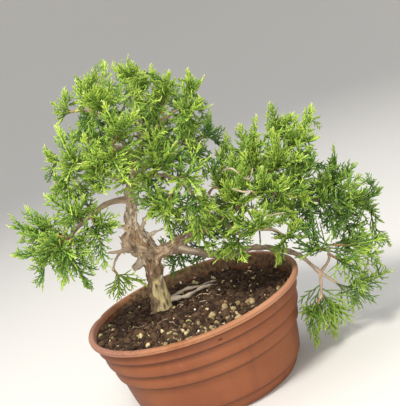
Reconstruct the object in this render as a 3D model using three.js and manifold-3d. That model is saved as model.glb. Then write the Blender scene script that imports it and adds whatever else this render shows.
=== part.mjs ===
// A Pfitzer juniper grown as a small bonsai in a round ribbed pot, in millimetres, +Z up.
// The origin is the middle of the pot's underside, on the surface that the pot stands on.
// The pot is moulded, the soil fills it, and the tree is one piece of wood whose twigs end in leafy sprays.
// Each spray is a forked stem with shoots and short scale-leaved branchlets, all drawn by a seeded rule.
import * as THREE from "three";
import { mergeVertices } from "three/addons/utils/BufferGeometryUtils.js";
import Module from "manifold-3d";

const wasm = await Module();
wasm.setup();

// Driving dimensions
const POT_HEIGHT = 84;
const RIM_RADIUS = 100;
const RIM_WIDTH = 4.6; // across its top
const RIM_DEPTH = 5;
const FOOT_RADIUS = 71;
const FOOT_RING = 8; // width of the ring that the pot stands on
const FOOT_RECESS = 2.5;
const FOOT_BAND = { radius: 76.2, top: 9.5 };
const BODY = { low: 79, swell: 83.4, high: 84.6, bottom: 12.2, top: 41 };
const RIBS = [
  { low: 87, swell: 88.9, high: 88.3, bottom: 42.2, top: 54.4 },
  { low: 91, swell: 93, high: 92, bottom: 55.6, top: 68 },
  { low: 94.6, swell: 96, high: 95.2, bottom: 69.4, top: 78 },
];
const WALL = 2.4;
const LIP = [RIM_RADIUS - RIM_WIDTH - 1, POT_HEIGHT - 2];
const INNER_WALL = { top: [92.4 - WALL, 68], swell: [79.2 - WALL, 15.5] }; // below the lip, which the soil follows
const FLOOR_TOP = 5;
const FLOOR_RADIUS = 70;
const HUB_RADIUS = 10;
const DRAIN_RADIUS = 4;
const DRAIN_CIRCLE = 36;
const DRAINS = 6;
const POT_SIDES = 32;
const SEAT_GAP = 0.3; // between pieces that touch on the real thing
const SOIL_LEVEL = 74;
const SOIL_SLOPE = [-0.035, -0.03]; // rise of the soil per millimetre along X and Y
const SOIL_EDGE = 93.4; // before the wall limits it
const SOIL_RINGS = 5;
const SOIL_GRAIN = 1.1;
const THINNING = [0.04, 0.05, 0.03, 0.06, 0.02, 0.08, 0.01]; // how far a joined surface may shift, by tries
const WOOD_THINNING = 5; // times as much on the wood
const MERGE = 0.001; // corners nearer than this are one

// The trunk's cross-section
const TRUNK_SIDES = 10;
const BARK = 1.09; // the furthest that bark stands out, as a share of the radius
const BARK_RIDGES = 4;

// Materials
const material = (color, roughness) =>
  new THREE.MeshStandardMaterial({ color, roughness, metalness: 0 });
const MATERIALS = {
  pot: material(0xb8653c, 0.55),
  soil: material(0x3a2c22, 0.95),
  wood: material(0x8a6a4e, 0.85),
  foliage: material(0x6fae35, 0.6),
};

// The tree's wood: the trunk and the limbs that stay bare, each a route with a radius at each point
const TRUNK = [
  [-31, 26, 54, 8],
  [-30, 25, 73, 10.6],
  [-28, 24, 95, 9],
  [-25, 22, 116, 8.2],
  [-23, 21, 133, 8.4],
  [-25, 20, 147, 7],
  [-29, 18, 159, 5.8],
  [-28, 16, 170, 5],
  [-22, 15, 178, 4.6],
  [-21, 14, 189, 4.5],
  [-15, 13, 201, 4.2],
  [-4, 12, 217, 3.6],
  [6, 10, 234, 3],
  [11, 8, 254, 2.3],
  [13, 6, 272, 1.6],
];
const BARE_LIMBS = {
  burl: [[-25, 17, 133, 6.5], [-34, 12, 142, 6], [-38, 10, 151, 5], [-31, 14, 159, 4]],
  burl_core: [[-26, 17, 137, 6.5], [-31, 15, 147, 6], [-29, 16, 156, 4.6]],
  sawn_stub: [[-26, 18, 131, 3.6], [-33, 14, 127, 3.4], [-40, 7, 126, 3]],
  foot_jin: [[-25, 20, 96, 3.4], [-19, 13, 109, 1.2]],
  left_flake: [[-30, 15, 161, 2.6], [-40, 10, 165, 1.1]],
  front_flake: [[-28, 15, 164, 2.4], [-29, 8, 176, 1]],
  thorn: [[-26, 15, 161, 2], [-20, 8, 174, 0.8]],
  hook: [[-24, 18, 152, 1.8], [-14, 12, 165, 1.3], [-6, 10, 169, 0.8]],
  right_snag: [[-24, 19, 147, 1.8], [-3, 15, 149, 0.8]],
  ring_twig: [
    [36, 8, 139, 1.8], [39, 2, 158, 1.6], [48, -4, 171, 1.4], [55, -6, 172, 1.2], [56, -9, 160, 0.9],
  ],
  dead_twig: [[-34, 11, 146, 2.2], [-45, 4, 145, 1.7], [-56, 2, 148, 0.9]],
};
const ROOTS = {
  surface_root: [
    [-29, 25, 79, 3], [-14, 28, 77.5, 2.1], [0, 33, 76, 1.8], [14, 41, 74.5, 1.5], [28, 50, 70, 1.1],
  ],
  thin_root: [
    [-29, 28, 80, 2.2], [-14, 37, 79, 1.6], [1, 45, 77, 1.4], [16, 53, 74, 1.2], [29, 60, 68, 1],
  ],
  front_root: [[-31, 24, 74, 5], [-24, 8, 69, 3.4], [-16, -6, 60, 1.6]],
  left_root: [[-32, 25, 74, 5], [-46, 12, 69, 3.4], [-56, 2, 60, 1.6]],
  back_root: [[-31, 27, 74, 5], [-40, 42, 68, 3.2], [-46, 54, 58, 1.6]],
};

// The boughs that carry leaves: a route, the radius at its two ends, how far the shoots on it rise (+) or
// hang (-), and its sprays, each as the place on the bough, from 0 to 1, and the two tips of its fork
const BOUGHS = {
  left_low: {
    route: [[-21, 14, 184], [-31, 6, 189], [-43, -4, 191], [-57, -14, 188], [-69, -22, 184], [-78, -28, 179]],
    radius: [3.2, 1.4],
    rise: 0.05,
    sprays: [
      [1, [-116, -30, 202], [-103, -18, 209]],
      [1, [-121, -38, 181], [-112, -34, 152]],
      [0.9, [-93, -50, 150], [-76, -40, 138]],
      [0.7, [-80, -34, 216], [-54, -48, 208]],
      [0.6, [-56, -44, 152], [-40, -44, 178]],
      [0.95, [-76, -64, 172], [-94, -62, 190]],
      [0.85, [-114, 8, 160], [-101, 18, 136]],
    ],
  },
  left_middle: {
    route: [[-16, 13, 200], [-27, 8, 209], [-38, 2, 221], [-48, -4, 232], [-56, -8, 240]],
    radius: [2.8, 1.3],
    rise: 0.25,
    sprays: [
      [1, [-71, -10, 251], [-72, -16, 232]],
      [0.75, [-55, -20, 264], [-58, -42, 230]],
      [0.5, [-35, -38, 252], [-34, -46, 210]],
      [0.85, [-76, -26, 216], [-66, -40, 204]],
    ],
  },
  upper_left: {
    route: [[-4, 12, 218], [-10, 10, 238], [-16, 8, 259], [-25, 5, 270], [-34, 2, 275]],
    radius: [2.6, 1.2],
    rise: 0.4,
    sprays: [
      [1, [-52, 0, 272], [-42, 4, 290]],
      [0.8, [-28, 10, 294], [-14, -4, 298]],
      [0.55, [-2, 12, 301], [-21, -30, 284]],
    ],
  },
  crown: {
    route: [[6, 10, 234], [11, 8, 254], [13, 6, 272]],
    radius: [3, 1.4],
    rise: 0.4,
    sprays: [
      [1, [7, 18, 295], [21, -2, 294]],
      [0.6, [28, -14, 283], [22, 30, 285]],
    ],
  },
  upper_right: {
    route: [[6, 10, 234], [21, 6, 238], [37, 3, 245], [52, 0, 249]],
    radius: [2.4, 1.1],
    rise: 0.35,
    sprays: [
      [0.5, [36, 4, 284], [46, -8, 276]],
      [1, [64, -2, 271], [71, 8, 261]],
      [0.85, [68, -8, 241], [50, -32, 240]],
    ],
  },
  back_right: {
    route: [[0, 12, 224], [16, 30, 216], [37, 45, 212], [54, 55, 209]],
    radius: [2.6, 1.2],
    rise: 0.2,
    sprays: [
      [1, [72, 56, 224], [74, 62, 192]],
      [0.7, [53, 52, 247], [50, 72, 174]],
    ],
  },
  front_middle: {
    route: [[-17, 12, 195], [-2, 0, 201], [13, -12, 200], [25, -22, 193], [32, -28, 183]],
    radius: [2.8, 1.2],
    rise: 0,
    sprays: [
      [0.35, [14, -36, 238], [30, -44, 224]],
      [0.7, [51, -36, 203], [37, -52, 186]],
      [1, [46, -38, 162], [25, -40, 146]],
      [0.8, [4, -36, 154], [-6, -38, 176]],
    ],
  },
  back_left: {
    route: [[-8, 12, 213], [-21, 35, 219], [-35, 52, 232]],
    radius: [2.6, 1.2],
    rise: 0.2,
    sprays: [
      [1, [-67, 72, 252], [-36, 68, 274]],
      [0.6, [-52, 74, 198], [-60, 48, 222]],
    ],
  },
  front_crown: {
    route: [[-6, 12, 215], [-9, -8, 231], [-17, -25, 240]],
    radius: [2.4, 1.2],
    rise: 0.3,
    sprays: [
      [1, [-9, -46, 271], [10, -52, 258]],
      [0.8, [-14, -56, 214], [-38, -58, 236]],
    ],
  },
  back_middle: {
    route: [[-15, 13, 201], [-6, 40, 201], [4, 60, 201]],
    radius: [2.8, 1.3],
    rise: 0.15,
    sprays: [
      [1, [13, 68, 256], [32, 86, 214]],
      [0.7, [4, 78, 166], [-20, 86, 220]],
    ],
  },
  right_main: {
    route: [
      [-22, 20, 127], [-11, 16, 129], [1, 12, 132], [11, 10, 135], [20, 8, 136], [33, 8, 138], [49, 5, 141],
      [69, 0, 149], [87, 0, 157], [103, 3, 170], [115, 6, 184],
    ],
    radius: [6, 1.4],
    rise: 0.3,
    sprays: [
      [0.62, [53, -8, 190], [76, 10, 207]],
      [0.8, [91, 2, 211], [107, 12, 212]],
      [1, [122, 0, 220], [137, 14, 204]],
      [0.96, [154, 4, 206], [147, -12, 184]],
      [0.86, [113, -36, 203], [128, -34, 176]],
      [0.66, [84, -40, 194], [60, -40, 178]],
      [0.76, [92, -52, 180], [104, -52, 160]],
      [0.84, [116, -28, 158], [122, -26, 134]],
    ],
  },
  right_low: {
    route: [[49, 5, 141], [60, -5, 126], [75, -8, 125], [88, -8, 120], [97, -6, 110]],
    radius: [2.6, 1.2],
    rise: -0.15,
    sprays: [
      [0.3, [36, -34, 120], [55, -44, 116]],
      [0.6, [60, -52, 144], [80, -58, 150]],
      [1, [84, -22, 98], [108, -44, 128]],
    ],
  },
  right_far: {
    route: [[87, 0, 157], [111, 14, 140], [132, 22, 127], [153, 24, 114]],
    radius: [2.4, 1.2],
    rise: 0.3,
    sprays: [
      [0.8, [166, 16, 162], [179, 26, 140]],
      [1, [194, 20, 112], [184, 12, 91]],
      [0.7, [152, 46, 138], [158, -12, 118]],
      [0.4, [134, 8, 178], [148, 32, 166]],
      [0.88, [176, 42, 98], [160, 34, 82]],
    ],
  },
  right_back: {
    route: [[49, 5, 141], [70, 28, 142], [95, 46, 145]],
    radius: [2.6, 1.3],
    rise: 0.2,
    sprays: [
      [1, [98, 58, 184], [129, 64, 170]],
      [1, [137, 64, 127], [98, 78, 120]],
      [0.6, [72, 62, 160], [52, 72, 130]],
    ],
  },
  cascade: {
    route: [
      [-20, 22, 126], [-8, 27, 125], [4, 32, 121], [20, 40, 110], [37, 48, 98], [51, 49, 94], [64, 44, 96],
      [80, 34, 94], [93, 18, 91], [103, 0, 88], [110, -8, 79], [116, -14, 69],
    ],
    radius: [4.2, 1.7],
    rise: -0.2,
    sprays: [],
  },
  cascade_rise: {
    route: [[116, -14, 69], [127, -14, 78], [130, -12, 90]],
    radius: [1.6, 1.1],
    rise: 0,
    sprays: [
      [1, [169, -14, 60], [172, -20, 82]],
      [0.7, [144, -32, 52], [138, -44, 80]],
      [0.9, [104, -26, 112], [108, -38, 97]],
    ],
  },
  cascade_drop: {
    route: [[116, -14, 69], [113, -16, 59], [110, -17, 49]],
    radius: [1.6, 1.1],
    rise: -0.45,
    sprays: [
      [1, [91, -24, 14], [90, -38, 50]],
      [0.9, [111, -14, 9], [128, -6, 18]],
    ],
  },
  cascade_tip: {
    route: [[116, -14, 69], [125, -12, 57], [133, -10, 46]],
    radius: [1.5, 1],
    rise: -0.2,
    sprays: [[1, [173, -6, 45], [138, 8, 20]]],
  },
  dangling_twig: {
    route: [[-45, 4, 145], [-52, 2, 140], [-57, 0, 133]],
    radius: [1.4, 0.9],
    rise: -0.4,
    sprays: [[1, [-38, -6, 116], [-60, -4, 112]]],
  },
};

// How a spray is built
const TWIG_SHARE = 0.4; // bare wood, as a share of the way from the bough to the fork
const FORK_SHARE = 0.36; // where the fork lies on the way from the bough to the tips
const TWIG_RADIUS = [1.6, 1.3];
const STEM_RADIUS = 1.3;
const FORK_RADIUS = 1.15;
const TIP_RADIUS = 0.7;
const SHOOT_RADIUS = 0.9;
const SHOOT_SPACING = 3.85; // along a stem, alternately left and right
const [LEFT, TOP, RIGHT] = [0, 1, 2]; // the faces of a stem
const SHOOT_LENGTH = [25, 7.5]; // from the seat to the tip of a stem
const SHOOT_ANGLE = [1.05, 0.6]; // between the shoot and its stem
const SHOOT_TRIES = [[1, 0], [0.8, 0.6], [0.8, -0.6], [0.55, 0]]; // share of the length, extra turn
const CLEARANCE = 0.35;
const LOWEST = 4; // above the surface that the pot stands on
const OFF_POT = 1.8;
const LIGHT = new THREE.Vector3(0.2, 0, 0.98); // the way light drew the shoots
const LEAST_LEAN = 0.38; // of a shoot out of its stem's face
const ROOT_SHARE = 0.35; // of a shoot, near enough to its stem to be beside other roots
const SIDE_LIFT = 0.55; // of the side shoots towards the top
const BENDS = [
  [0, 0, 0], [0, 5, 0], [0, -5, 0], [5, 0, 0], [-5, 0, 0], [0, 0, 5], [0, 0, -5],
  [0, 9, 3], [0, -9, 3], [8, 0, 4], [-8, 0, 4], [6, 8, -3], [-6, -8, -3], [0, 13, 0], [0, -13, 0],
];

const vector = ([x, y, z]) => new THREE.Vector3(x, y, z);
const mix = (a, b, t) => a + (b - a) * t;

// Random numbers from 0 to 1 that are the same on every run
function dice(seed) {
  let state = (seed * 2654435761) >>> 0;
  return () => {
    state = (Math.imul(state, 1664525) + 1013904223) >>> 0;
    return state / 4294967296;
  };
}

// The place at a share of the way along straight pieces between points
function wayAlong(points, share) {
  const at = Math.min(share * (points.length - 1), points.length - 1.0001);
  const i = Math.floor(at);
  return points[i].clone().lerp(points[i + 1], at - i);
}

const routeLimb = (route, sides, grow = 0) => ({
  points: route.map(vector),
  radii: route.map((p) => p[3] + grow),
  sides,
});

// Solids

function toManifold(geometry) {
  const bare = geometry.clone();
  for (const name of Object.keys(bare.attributes)) if (name !== "position") bare.deleteAttribute(name);
  const merged = mergeVertices(bare, 1e-5);
  return new wasm.Manifold(
    new wasm.Mesh({
      numProp: 3,
      vertProperties: new Float32Array(merged.attributes.position.array),
      triVerts: new Uint32Array(merged.index.array),
    }),
  );
}

// True if each edge has one face on either side of it
function isCrisp({ vertProperties, triVerts }) {
  const seen = new Map();
  const spot = (v) => [0, 1, 2].map((k) => Math.round(vertProperties[3 * v + k] / MERGE)).join();
  for (let t = 0; t < triVerts.length; t += 3) {
    const corners = [0, 1, 2].map((k) => spot(triVerts[t + k]));
    if (new Set(corners).size < 3) continue;
    for (let k = 0; k < 3; k++) {
      const edge = [corners[k], corners[(k + 1) % 3]].sort().join();
      seen.set(edge, (seen.get(edge) ?? 0) + 1);
    }
  }
  return [...seen.values()].every((count) => count === 2);
}

// The largest body of a solid, thinned a little more or less until all its edges are crisp
function toMesh(solid, name, finish, coarseness = 1) {
  const body = solid.decompose().sort((a, b) => b.volume() - a.volume())[0].asOriginal();
  const thinned = THINNING.map((step) => body.simplify(coarseness * step).getMesh());
  const { vertProperties, triVerts } = thinned.find(isCrisp) ?? thinned[0];
  const geometry = new THREE.BufferGeometry();
  geometry.setAttribute("position", new THREE.BufferAttribute(Float32Array.from(vertProperties), 3));
  geometry.setIndex(new THREE.BufferAttribute(Uint32Array.from(triVerts), 1));
  geometry.computeVertexNormals();
  const mesh = new THREE.Mesh(geometry, finish);
  mesh.name = name;
  return mesh;
}

// The heading of a stem at each of its points, and two directions across it that turn as little as they can
function frameAlong(points, start) {
  const last = points.length - 1;
  const along = points.map((p, i) =>
    points[Math.min(i + 1, last)].clone().sub(points[Math.max(i - 1, 0)]).normalize(),
  );
  const upright = Math.abs(along[0].z) > 0.9;
  const across = [];
  let carried = start ?? new THREE.Vector3(0, upright ? 1 : 0, upright ? 0 : 1);
  for (const heading of along) {
    carried = carried.clone().addScaledVector(heading, -carried.dot(heading)).normalize();
    across.push(carried);
  }
  return along.map((heading, i) => ({
    heading,
    across: across[i],
    side: new THREE.Vector3().crossVectors(across[i], heading),
  }));
}

// A capped cylinder or a cone bent along its points. Each shoot stands on one face of it as a pyramid.
function tube({ points, radii, sides, frames, ridge, shoots }, pointed = false) {
  const rings = points.length - 1;
  const frame = frames ?? frameAlong(points);
  const geometry = pointed
    ? new THREE.ConeGeometry(1, 1, sides, rings)
    : new THREE.CylinderGeometry(1, 1, 1, sides, rings);
  const position = geometry.attributes.position;
  for (let v = 0; v < position.count; v++) {
    const ring = Math.round((position.getY(v) + 0.5) * rings);
    const spread = pointed && ring < rings ? 1 / (1 - ring / rings) : 1;
    const x = position.getX(v) * spread;
    const z = position.getZ(v) * spread;
    const radius = radii[ring] * (ridge && (x || z) ? ridge(Math.atan2(z, x), ring) : 1);
    const at = points[ring].clone();
    at.addScaledVector(frame[ring].across, x * radius).addScaledVector(frame[ring].side, z * radius);
    position.setXYZ(v, at.x, at.y, at.z);
  }
  return toManifold(shoots ? withShoots(geometry, shoots, rings) : geometry);
}

// A cone whose four-cornered faces, named by the gap between two rings and the face round it, bear pyramids
function withShoots(cone, shoots, rings) {
  const index = [...cone.index.array];
  const places = [...cone.attributes.position.array];
  const perSide = 6 * rings - 3;
  for (const { gap, face, points } of shoots) {
    const first = face * perSide + 3 + 6 * (rings - 2 - gap);
    const [a, b, d, , c] = index.slice(first, first + 6);
    const tip = places.length / 3;
    places.push(...points[1].toArray());
    index.splice(first, 6, a, b, tip, b, c, tip);
    index.push(c, d, tip, d, a, tip);
  }
  const geometry = new THREE.BufferGeometry();
  geometry.setAttribute("position", new THREE.Float32BufferAttribute(places, 3));
  geometry.setIndex(index);
  return geometry;
}

const union = (solids) => wasm.Manifold.union(solids);

// Everything that fills the air above the pot, as thick lines, each with its spray and the stem it is on
const thicket = [];
const WOOD = "wood";

function segmentDistance(a, b, c, d) {
  const u = b.clone().sub(a);
  const v = d.clone().sub(c);
  const w = a.clone().sub(c);
  const uu = u.dot(u);
  const uv = u.dot(v);
  const vv = v.dot(v);
  const uw = u.dot(w);
  const vw = v.dot(w);
  const parallel = uu * vv - uv * uv;
  let s = parallel > 1e-9 ? THREE.MathUtils.clamp((uv * vw - vv * uw) / parallel, 0, 1) : 0;
  const t = THREE.MathUtils.clamp((uv * s + vw) / vv, 0, 1);
  s = THREE.MathUtils.clamp((uv * t - uw) / uu, 0, 1);
  return w.addScaledVector(u, s).addScaledVector(v, -t).length();
}

const segments = ({ points, radii }) =>
  points.slice(1).map((p, i) => ({ a: points[i], b: p, r: Math.max(radii[i], radii[i + 1]) }));

const apart = (mine, other, reach) =>
  ["x", "y", "z"].some(
    (k) =>
      Math.min(mine.a[k], mine.b[k]) - reach > Math.max(other.a[k], other.b[k]) ||
      Math.max(mine.a[k], mine.b[k]) + reach < Math.min(other.a[k], other.b[k]),
  );

// True where no part comes nearer than the clearance to the thick lines that it has to stay off
function isClear(parts, staysOff, clearance = CLEARANCE) {
  for (const part of parts)
    for (const mine of segments(part)) {
      if (!clearOfPot(mine.a) || !clearOfPot(mine.b)) return false;
      for (const other of thicket) {
        const reach = mine.r + other.r + clearance;
        if (!staysOff(other) || apart(mine, other, reach)) continue;
        if (segmentDistance(mine.a, mine.b, other.a, other.b) < reach) return false;
      }
    }
  return true;
}

function keep(parts, spray, stem) {
  for (const part of parts) for (const s of segments(part)) thicket.push({ ...s, spray, stem });
}

// True well above the soil, over the rim, or outside the wall and above the ground
function clearOfPot({ x, y, z }) {
  const radius = Math.hypot(x, y);
  if (z < LOWEST) return false;
  if (z > POT_HEIGHT + OFF_POT) return true;
  if (radius < RIM_RADIUS - 2 * RIM_WIDTH) return z > SOIL_LEVEL + 3 * OFF_POT;
  const wall = mix(FOOT_RADIUS + OFF_POT, RIM_RADIUS, z / POT_HEIGHT);
  return radius > (z > RIBS[2].top ? RIM_RADIUS : wall) + OFF_POT;
}

// Pot

// One stretch of the wall's outside, which steps out at its lower edge and swells a little
function band(path, { low, swell, high, bottom, top }) {
  path.lineTo(low, bottom);
  path.quadraticCurveTo(swell, (bottom + top) / 2, high, top);
}

function potOutside(path) {
  path.lineTo(FOOT_RADIUS, 0);
  path.quadraticCurveTo(FOOT_BAND.radius - 1.5, 0.6, FOOT_BAND.radius, FOOT_BAND.top);
  path.lineTo(FOOT_BAND.radius - 0.6, FOOT_BAND.top + 1.3);
  band(path, BODY);
  for (const rib of RIBS) band(path, rib);
  path.lineTo(RIM_RADIUS - 0.6, POT_HEIGHT - RIM_DEPTH);
  path.lineTo(RIM_RADIUS, POT_HEIGHT - 1.8);
  path.lineTo(RIM_RADIUS - 1.6, POT_HEIGHT);
}

function potInside(path) {
  path.lineTo(RIM_RADIUS - RIM_WIDTH, POT_HEIGHT);
  path.lineTo(...LIP);
  path.lineTo(...INNER_WALL.top);
  path.quadraticCurveTo(...INNER_WALL.swell, FLOOR_RADIUS, FLOOR_TOP);
  path.lineTo(0, FLOOR_TOP);
}

function turned(path) {
  const points = path.getPoints(2);
  points[0].x = 0;
  points[points.length - 1].x = 0;
  return new THREE.LatheGeometry(points, POT_SIDES).rotateX(Math.PI / 2);
}

function pot() {
  const path = new THREE.Path();
  path.moveTo(0, 0);
  path.lineTo(HUB_RADIUS, 0);
  path.lineTo(HUB_RADIUS, FOOT_RECESS);
  path.lineTo(FOOT_RADIUS - FOOT_RING - 1, FOOT_RECESS);
  path.lineTo(FOOT_RADIUS - FOOT_RING, 0);
  potOutside(path);
  potInside(path);
  let solid = toManifold(turned(path));
  for (let i = 0; i < DRAINS; i++) {
    const drain = new THREE.CylinderGeometry(DRAIN_RADIUS, DRAIN_RADIUS, 4 * FLOOR_TOP, 8);
    drain.rotateX(Math.PI / 2).translate(DRAIN_CIRCLE, 0, 0).rotateZ((i / DRAINS) * 2 * Math.PI);
    solid = solid.subtract(toManifold(drain));
  }
  return toMesh(solid, "pot", MATERIALS.pot);
}

// Soil: it fills the pot to a slightly sloping top whose grains stand out as low relief

const soilTop = (x, y) => SOIL_LEVEL + SOIL_SLOPE[0] * x + SOIL_SLOPE[1] * y;

// The inside radius of the wall at a height between the inner wall's top and the lip
function wallAt(z) {
  const [[low, bottom], [high, top]] = [INNER_WALL.top, LIP];
  return mix(low, high, (z - bottom) / (top - bottom));
}

function grain(x, y) {
  const wave = 0.61 * x + 1.3 * Math.sin(0.37 * y);
  return SOIL_GRAIN * Math.sin(wave) * Math.cos(0.53 * y + 0.29 * x);
}

function soil() {
  const path = new THREE.Path();
  const [topRadius, topHeight] = INNER_WALL.top;
  const [swellRadius, swellHeight] = INNER_WALL.swell;
  path.moveTo(0, FLOOR_TOP + SEAT_GAP);
  path.lineTo(FLOOR_RADIUS - 2 * SEAT_GAP, FLOOR_TOP + SEAT_GAP);
  path.quadraticCurveTo(swellRadius - 2 * SEAT_GAP, swellHeight, topRadius - 2 * SEAT_GAP, topHeight);
  for (let i = 0; i <= SOIL_RINGS; i++) path.lineTo(SOIL_EDGE * (1 - i / SOIL_RINGS), SOIL_LEVEL);
  const geometry = turned(path);
  const position = geometry.attributes.position;
  for (let v = 0; v < position.count; v++) {
    if (position.getZ(v) < SOIL_LEVEL) continue;
    const x = position.getX(v);
    const y = position.getY(v);
    const z = soilTop(x, y) + grain(x, y);
    const pull = Math.min(1, (wallAt(z) - 2 * SEAT_GAP) / Math.hypot(x, y));
    position.setXYZ(v, x * pull, y * pull, z);
  }
  const holes = [{ ...routeLimb(TRUNK.slice(0, 3), TRUNK_SIDES, SEAT_GAP + 0.1), ridge: bark }];
  for (const route of Object.values(ROOTS)) holes.push(routeLimb(route, 4, SEAT_GAP + 0.2));
  const solid = toManifold(geometry).subtract(union(holes.map((hole) => tube(hole))));
  return toMesh(solid, "soil", MATERIALS.soil);
}

// Wood

// Low ridges that wind up the trunk
const bark = (angle, ring) => 1 + (BARK - 1) * Math.sin(BARK_RIDGES * angle + 0.7 * ring);

function woodLimbs() {
  const limbs = [{ ...routeLimb(TRUNK, TRUNK_SIDES), ridge: bark }];
  for (const route of Object.values(BARE_LIMBS)) limbs.push(routeLimb(route, 4));
  for (const route of Object.values(ROOTS)) limbs.push(routeLimb(route, 4));
  for (const { route, radius } of Object.values(BOUGHS)) {
    const last = route.length - 1;
    const sized = route.map((p, i) => [...p, mix(radius[0], radius[1], i / last)]);
    limbs.push(routeLimb(sized, radius[0] > 4 ? 5 : 4));
  }
  return limbs;
}

// Sprays

// The bare twig of a spray, its main stem and the side stem that forks from it, bent by an offset at the fork
function skeleton(bough, [place, tipA, tipB], bend) {
  const root = wayAlong(bough.route.map(vector), place);
  const tips = [vector(tipA), vector(tipB)];
  const middle = tips[0].clone().add(tips[1]).multiplyScalar(0.5);
  const fork = root.clone().lerp(middle, FORK_SHARE).add(vector(bend));
  fork.z -= 0.12 * (middle.z - root.z);
  const knee = root.clone().lerp(fork, 0.5);
  knee.z -= 0.1 * (fork.z - root.z);
  const toFork = new THREE.QuadraticBezierCurve3(root, knee, fork);
  const heading = fork.clone().sub(knee).normalize();
  const arms = tips.map((tip) => {
    const reach = tip.distanceTo(fork);
    const hand = fork.clone().addScaledVector(heading, 0.35 * reach).lerp(tip, 0.2);
    hand.z -= 0.14 * (tip.z - fork.z);
    return stations(new THREE.QuadraticBezierCurve3(fork, hand, tip), reach, 0);
  });
  const seat = TWIG_SHARE + SEAT_GAP / root.distanceTo(fork);
  const stem = stations(toFork, (1 - seat) * root.distanceTo(fork), seat);
  const taper = (points, thick, thin) => points.map((_, i) => mix(thick, thin, i / points.length));
  const armRadii = arms.map((points) => taper(points, FORK_RADIUS, TIP_RADIUS));
  return {
    twig: { points: [root, toFork.getPoint(TWIG_SHARE)], radii: TWIG_RADIUS, sides: 3 },
    stems: [
      {
        points: [...stem, ...arms[0].slice(1)],
        radii: [...taper(stem.slice(1), STEM_RADIUS, FORK_RADIUS), ...armRadii[0]],
        sides: 3,
      },
      { points: arms[1], radii: armRadii[1], sides: 3 },
    ],
  };
}

// Points a shoot's spacing apart on a curve, from a place on it to its end
function stations(curve, length, from) {
  const count = Math.max(2, Math.round(length / SHOOT_SPACING));
  return Array.from({ length: count + 1 }, (_, i) => curve.getPoint(mix(from, 1, i / count)));
}

// The shoots of one stem: by turns left and right, at each second place one on top, shorter towards the tip
function growShoots(stem, rise, random, grows) {
  const gaps = stem.points.length - 1;
  for (let gap = 1; gap < gaps - 1; gap++)
    for (const face of gap % 2 ? [LEFT] : [RIGHT, TOP]) {
      const s = (gap + 0.5) / gaps;
      const angle = mix(...SHOOT_ANGLE, s) + 0.35 * (random() - 0.5);
      const turn = 0.9 * (random() - 0.5);
      const length = mix(...SHOOT_LENGTH, Math.pow(s, 0.8)) * mix(0.8, 1.2, random());
      for (const [share, extra] of SHOOT_TRIES)
        if (grows(shoot(stem, gap, face, angle, turn + extra, share * length, rise))) break;
    }
}

// One shoot: it leaves the middle of a face of its stem and turns towards the light
function shoot({ points, radii, frames }, gap, face, angle, turn, length, rise) {
  const { heading, across, side } = frames[gap];
  const theta = ((face + 0.5) * 2 * Math.PI) / 3;
  const out = across.clone().multiplyScalar(Math.sin(theta)).addScaledVector(side, Math.cos(theta));
  const lean = out.clone().addScaledVector(side, face === TOP ? 0 : -SIDE_LIFT);
  lean.addScaledVector(new THREE.Vector3().crossVectors(heading, out), turn).normalize();
  const way = heading.clone().multiplyScalar(Math.cos(angle)).addScaledVector(lean, Math.sin(angle));
  way.addScaledVector(LIGHT, rise).normalize();
  way.addScaledVector(out, Math.max(0, LEAST_LEAN - way.dot(out))).normalize();
  const from = points[gap].clone().lerp(points[gap + 1], 0.5).addScaledVector(out, 0.5 * radii[gap]);
  const tip = from.clone().addScaledVector(way, length);
  return { gap, face, points: [from, tip], radii: [SHOOT_RADIUS, 0.5 * SHOOT_RADIUS] };
}

function clearSkeleton(bough, name, tips) {
  for (const bend of BENDS) {
    const made = skeleton(bough, tips, bend);
    const twigClear = isClear([made.twig], (line) => line.spray !== WOOD);
    if (twigClear && isClear(made.stems, () => true, 2 * CLEARANCE)) return made;
  }
  throw new Error(name + " crosses another limb however it bends");
}

function sprays() {
  const made = [];
  for (const [boughName, bough] of Object.entries(BOUGHS))
    bough.sprays.forEach((tips, i) => {
      const name = `${boughName}_spray_${i + 1}`;
      const { twig, stems } = clearSkeleton(bough, name, tips);
      keep([twig], WOOD);
      stems.forEach((stem, n) => keep([stem], name, n));
      made.push({ name, rise: bough.rise, twig, stems });
    });
  made.forEach((spray, number) => {
    const random = dice(number + 1);
    spray.stems.forEach((stem, n) => {
      const lean = new THREE.Vector3(random() - 0.5, random() - 0.5, 1).normalize();
      const start = new THREE.Vector3().crossVectors(lean, stem.points[1].clone().sub(stem.points[0]));
      stem.frames = frameAlong(stem.points, start.normalize());
      stem.shoots = [];
      growShoots(stem, spray.rise, random, (bud) => {
        const [from, tip] = bud.points;
        const outer = { points: [from.clone().lerp(tip, ROOT_SHARE), tip], radii: bud.radii };
        if (!isClear([bud], (line) => line.spray !== spray.name)) return false;
        if (!isClear([outer], (line) => line.spray === spray.name && line.stem === n, 0)) return false;
        keep([outer], spray.name, n);
        keep([bud], spray.name);
        stem.shoots.push(bud);
        return true;
      });
    });
  });
  return made;
}

function sprayMesh({ name, stems }) {
  const solid = union(stems.map((stem) => tube(stem, true)));
  return toMesh(solid, name, MATERIALS.foliage);
}

// The whole tree in its pot
const bonsai = new THREE.Group();
const limbs = woodLimbs();
for (const limb of limbs) keep([{ ...limb, radii: limb.radii.map((r) => r * BARK) }], WOOD);
const leafy = sprays();
const wood = [...limbs.map((limb) => tube(limb)), ...leafy.map(({ twig }) => tube(twig))];
const woodMesh = toMesh(union(wood), "trunk_and_branches", MATERIALS.wood, WOOD_THINNING);
bonsai.add(pot(), soil(), woodMesh, ...leafy.map(sprayMesh));

export default bonsai;
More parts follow.
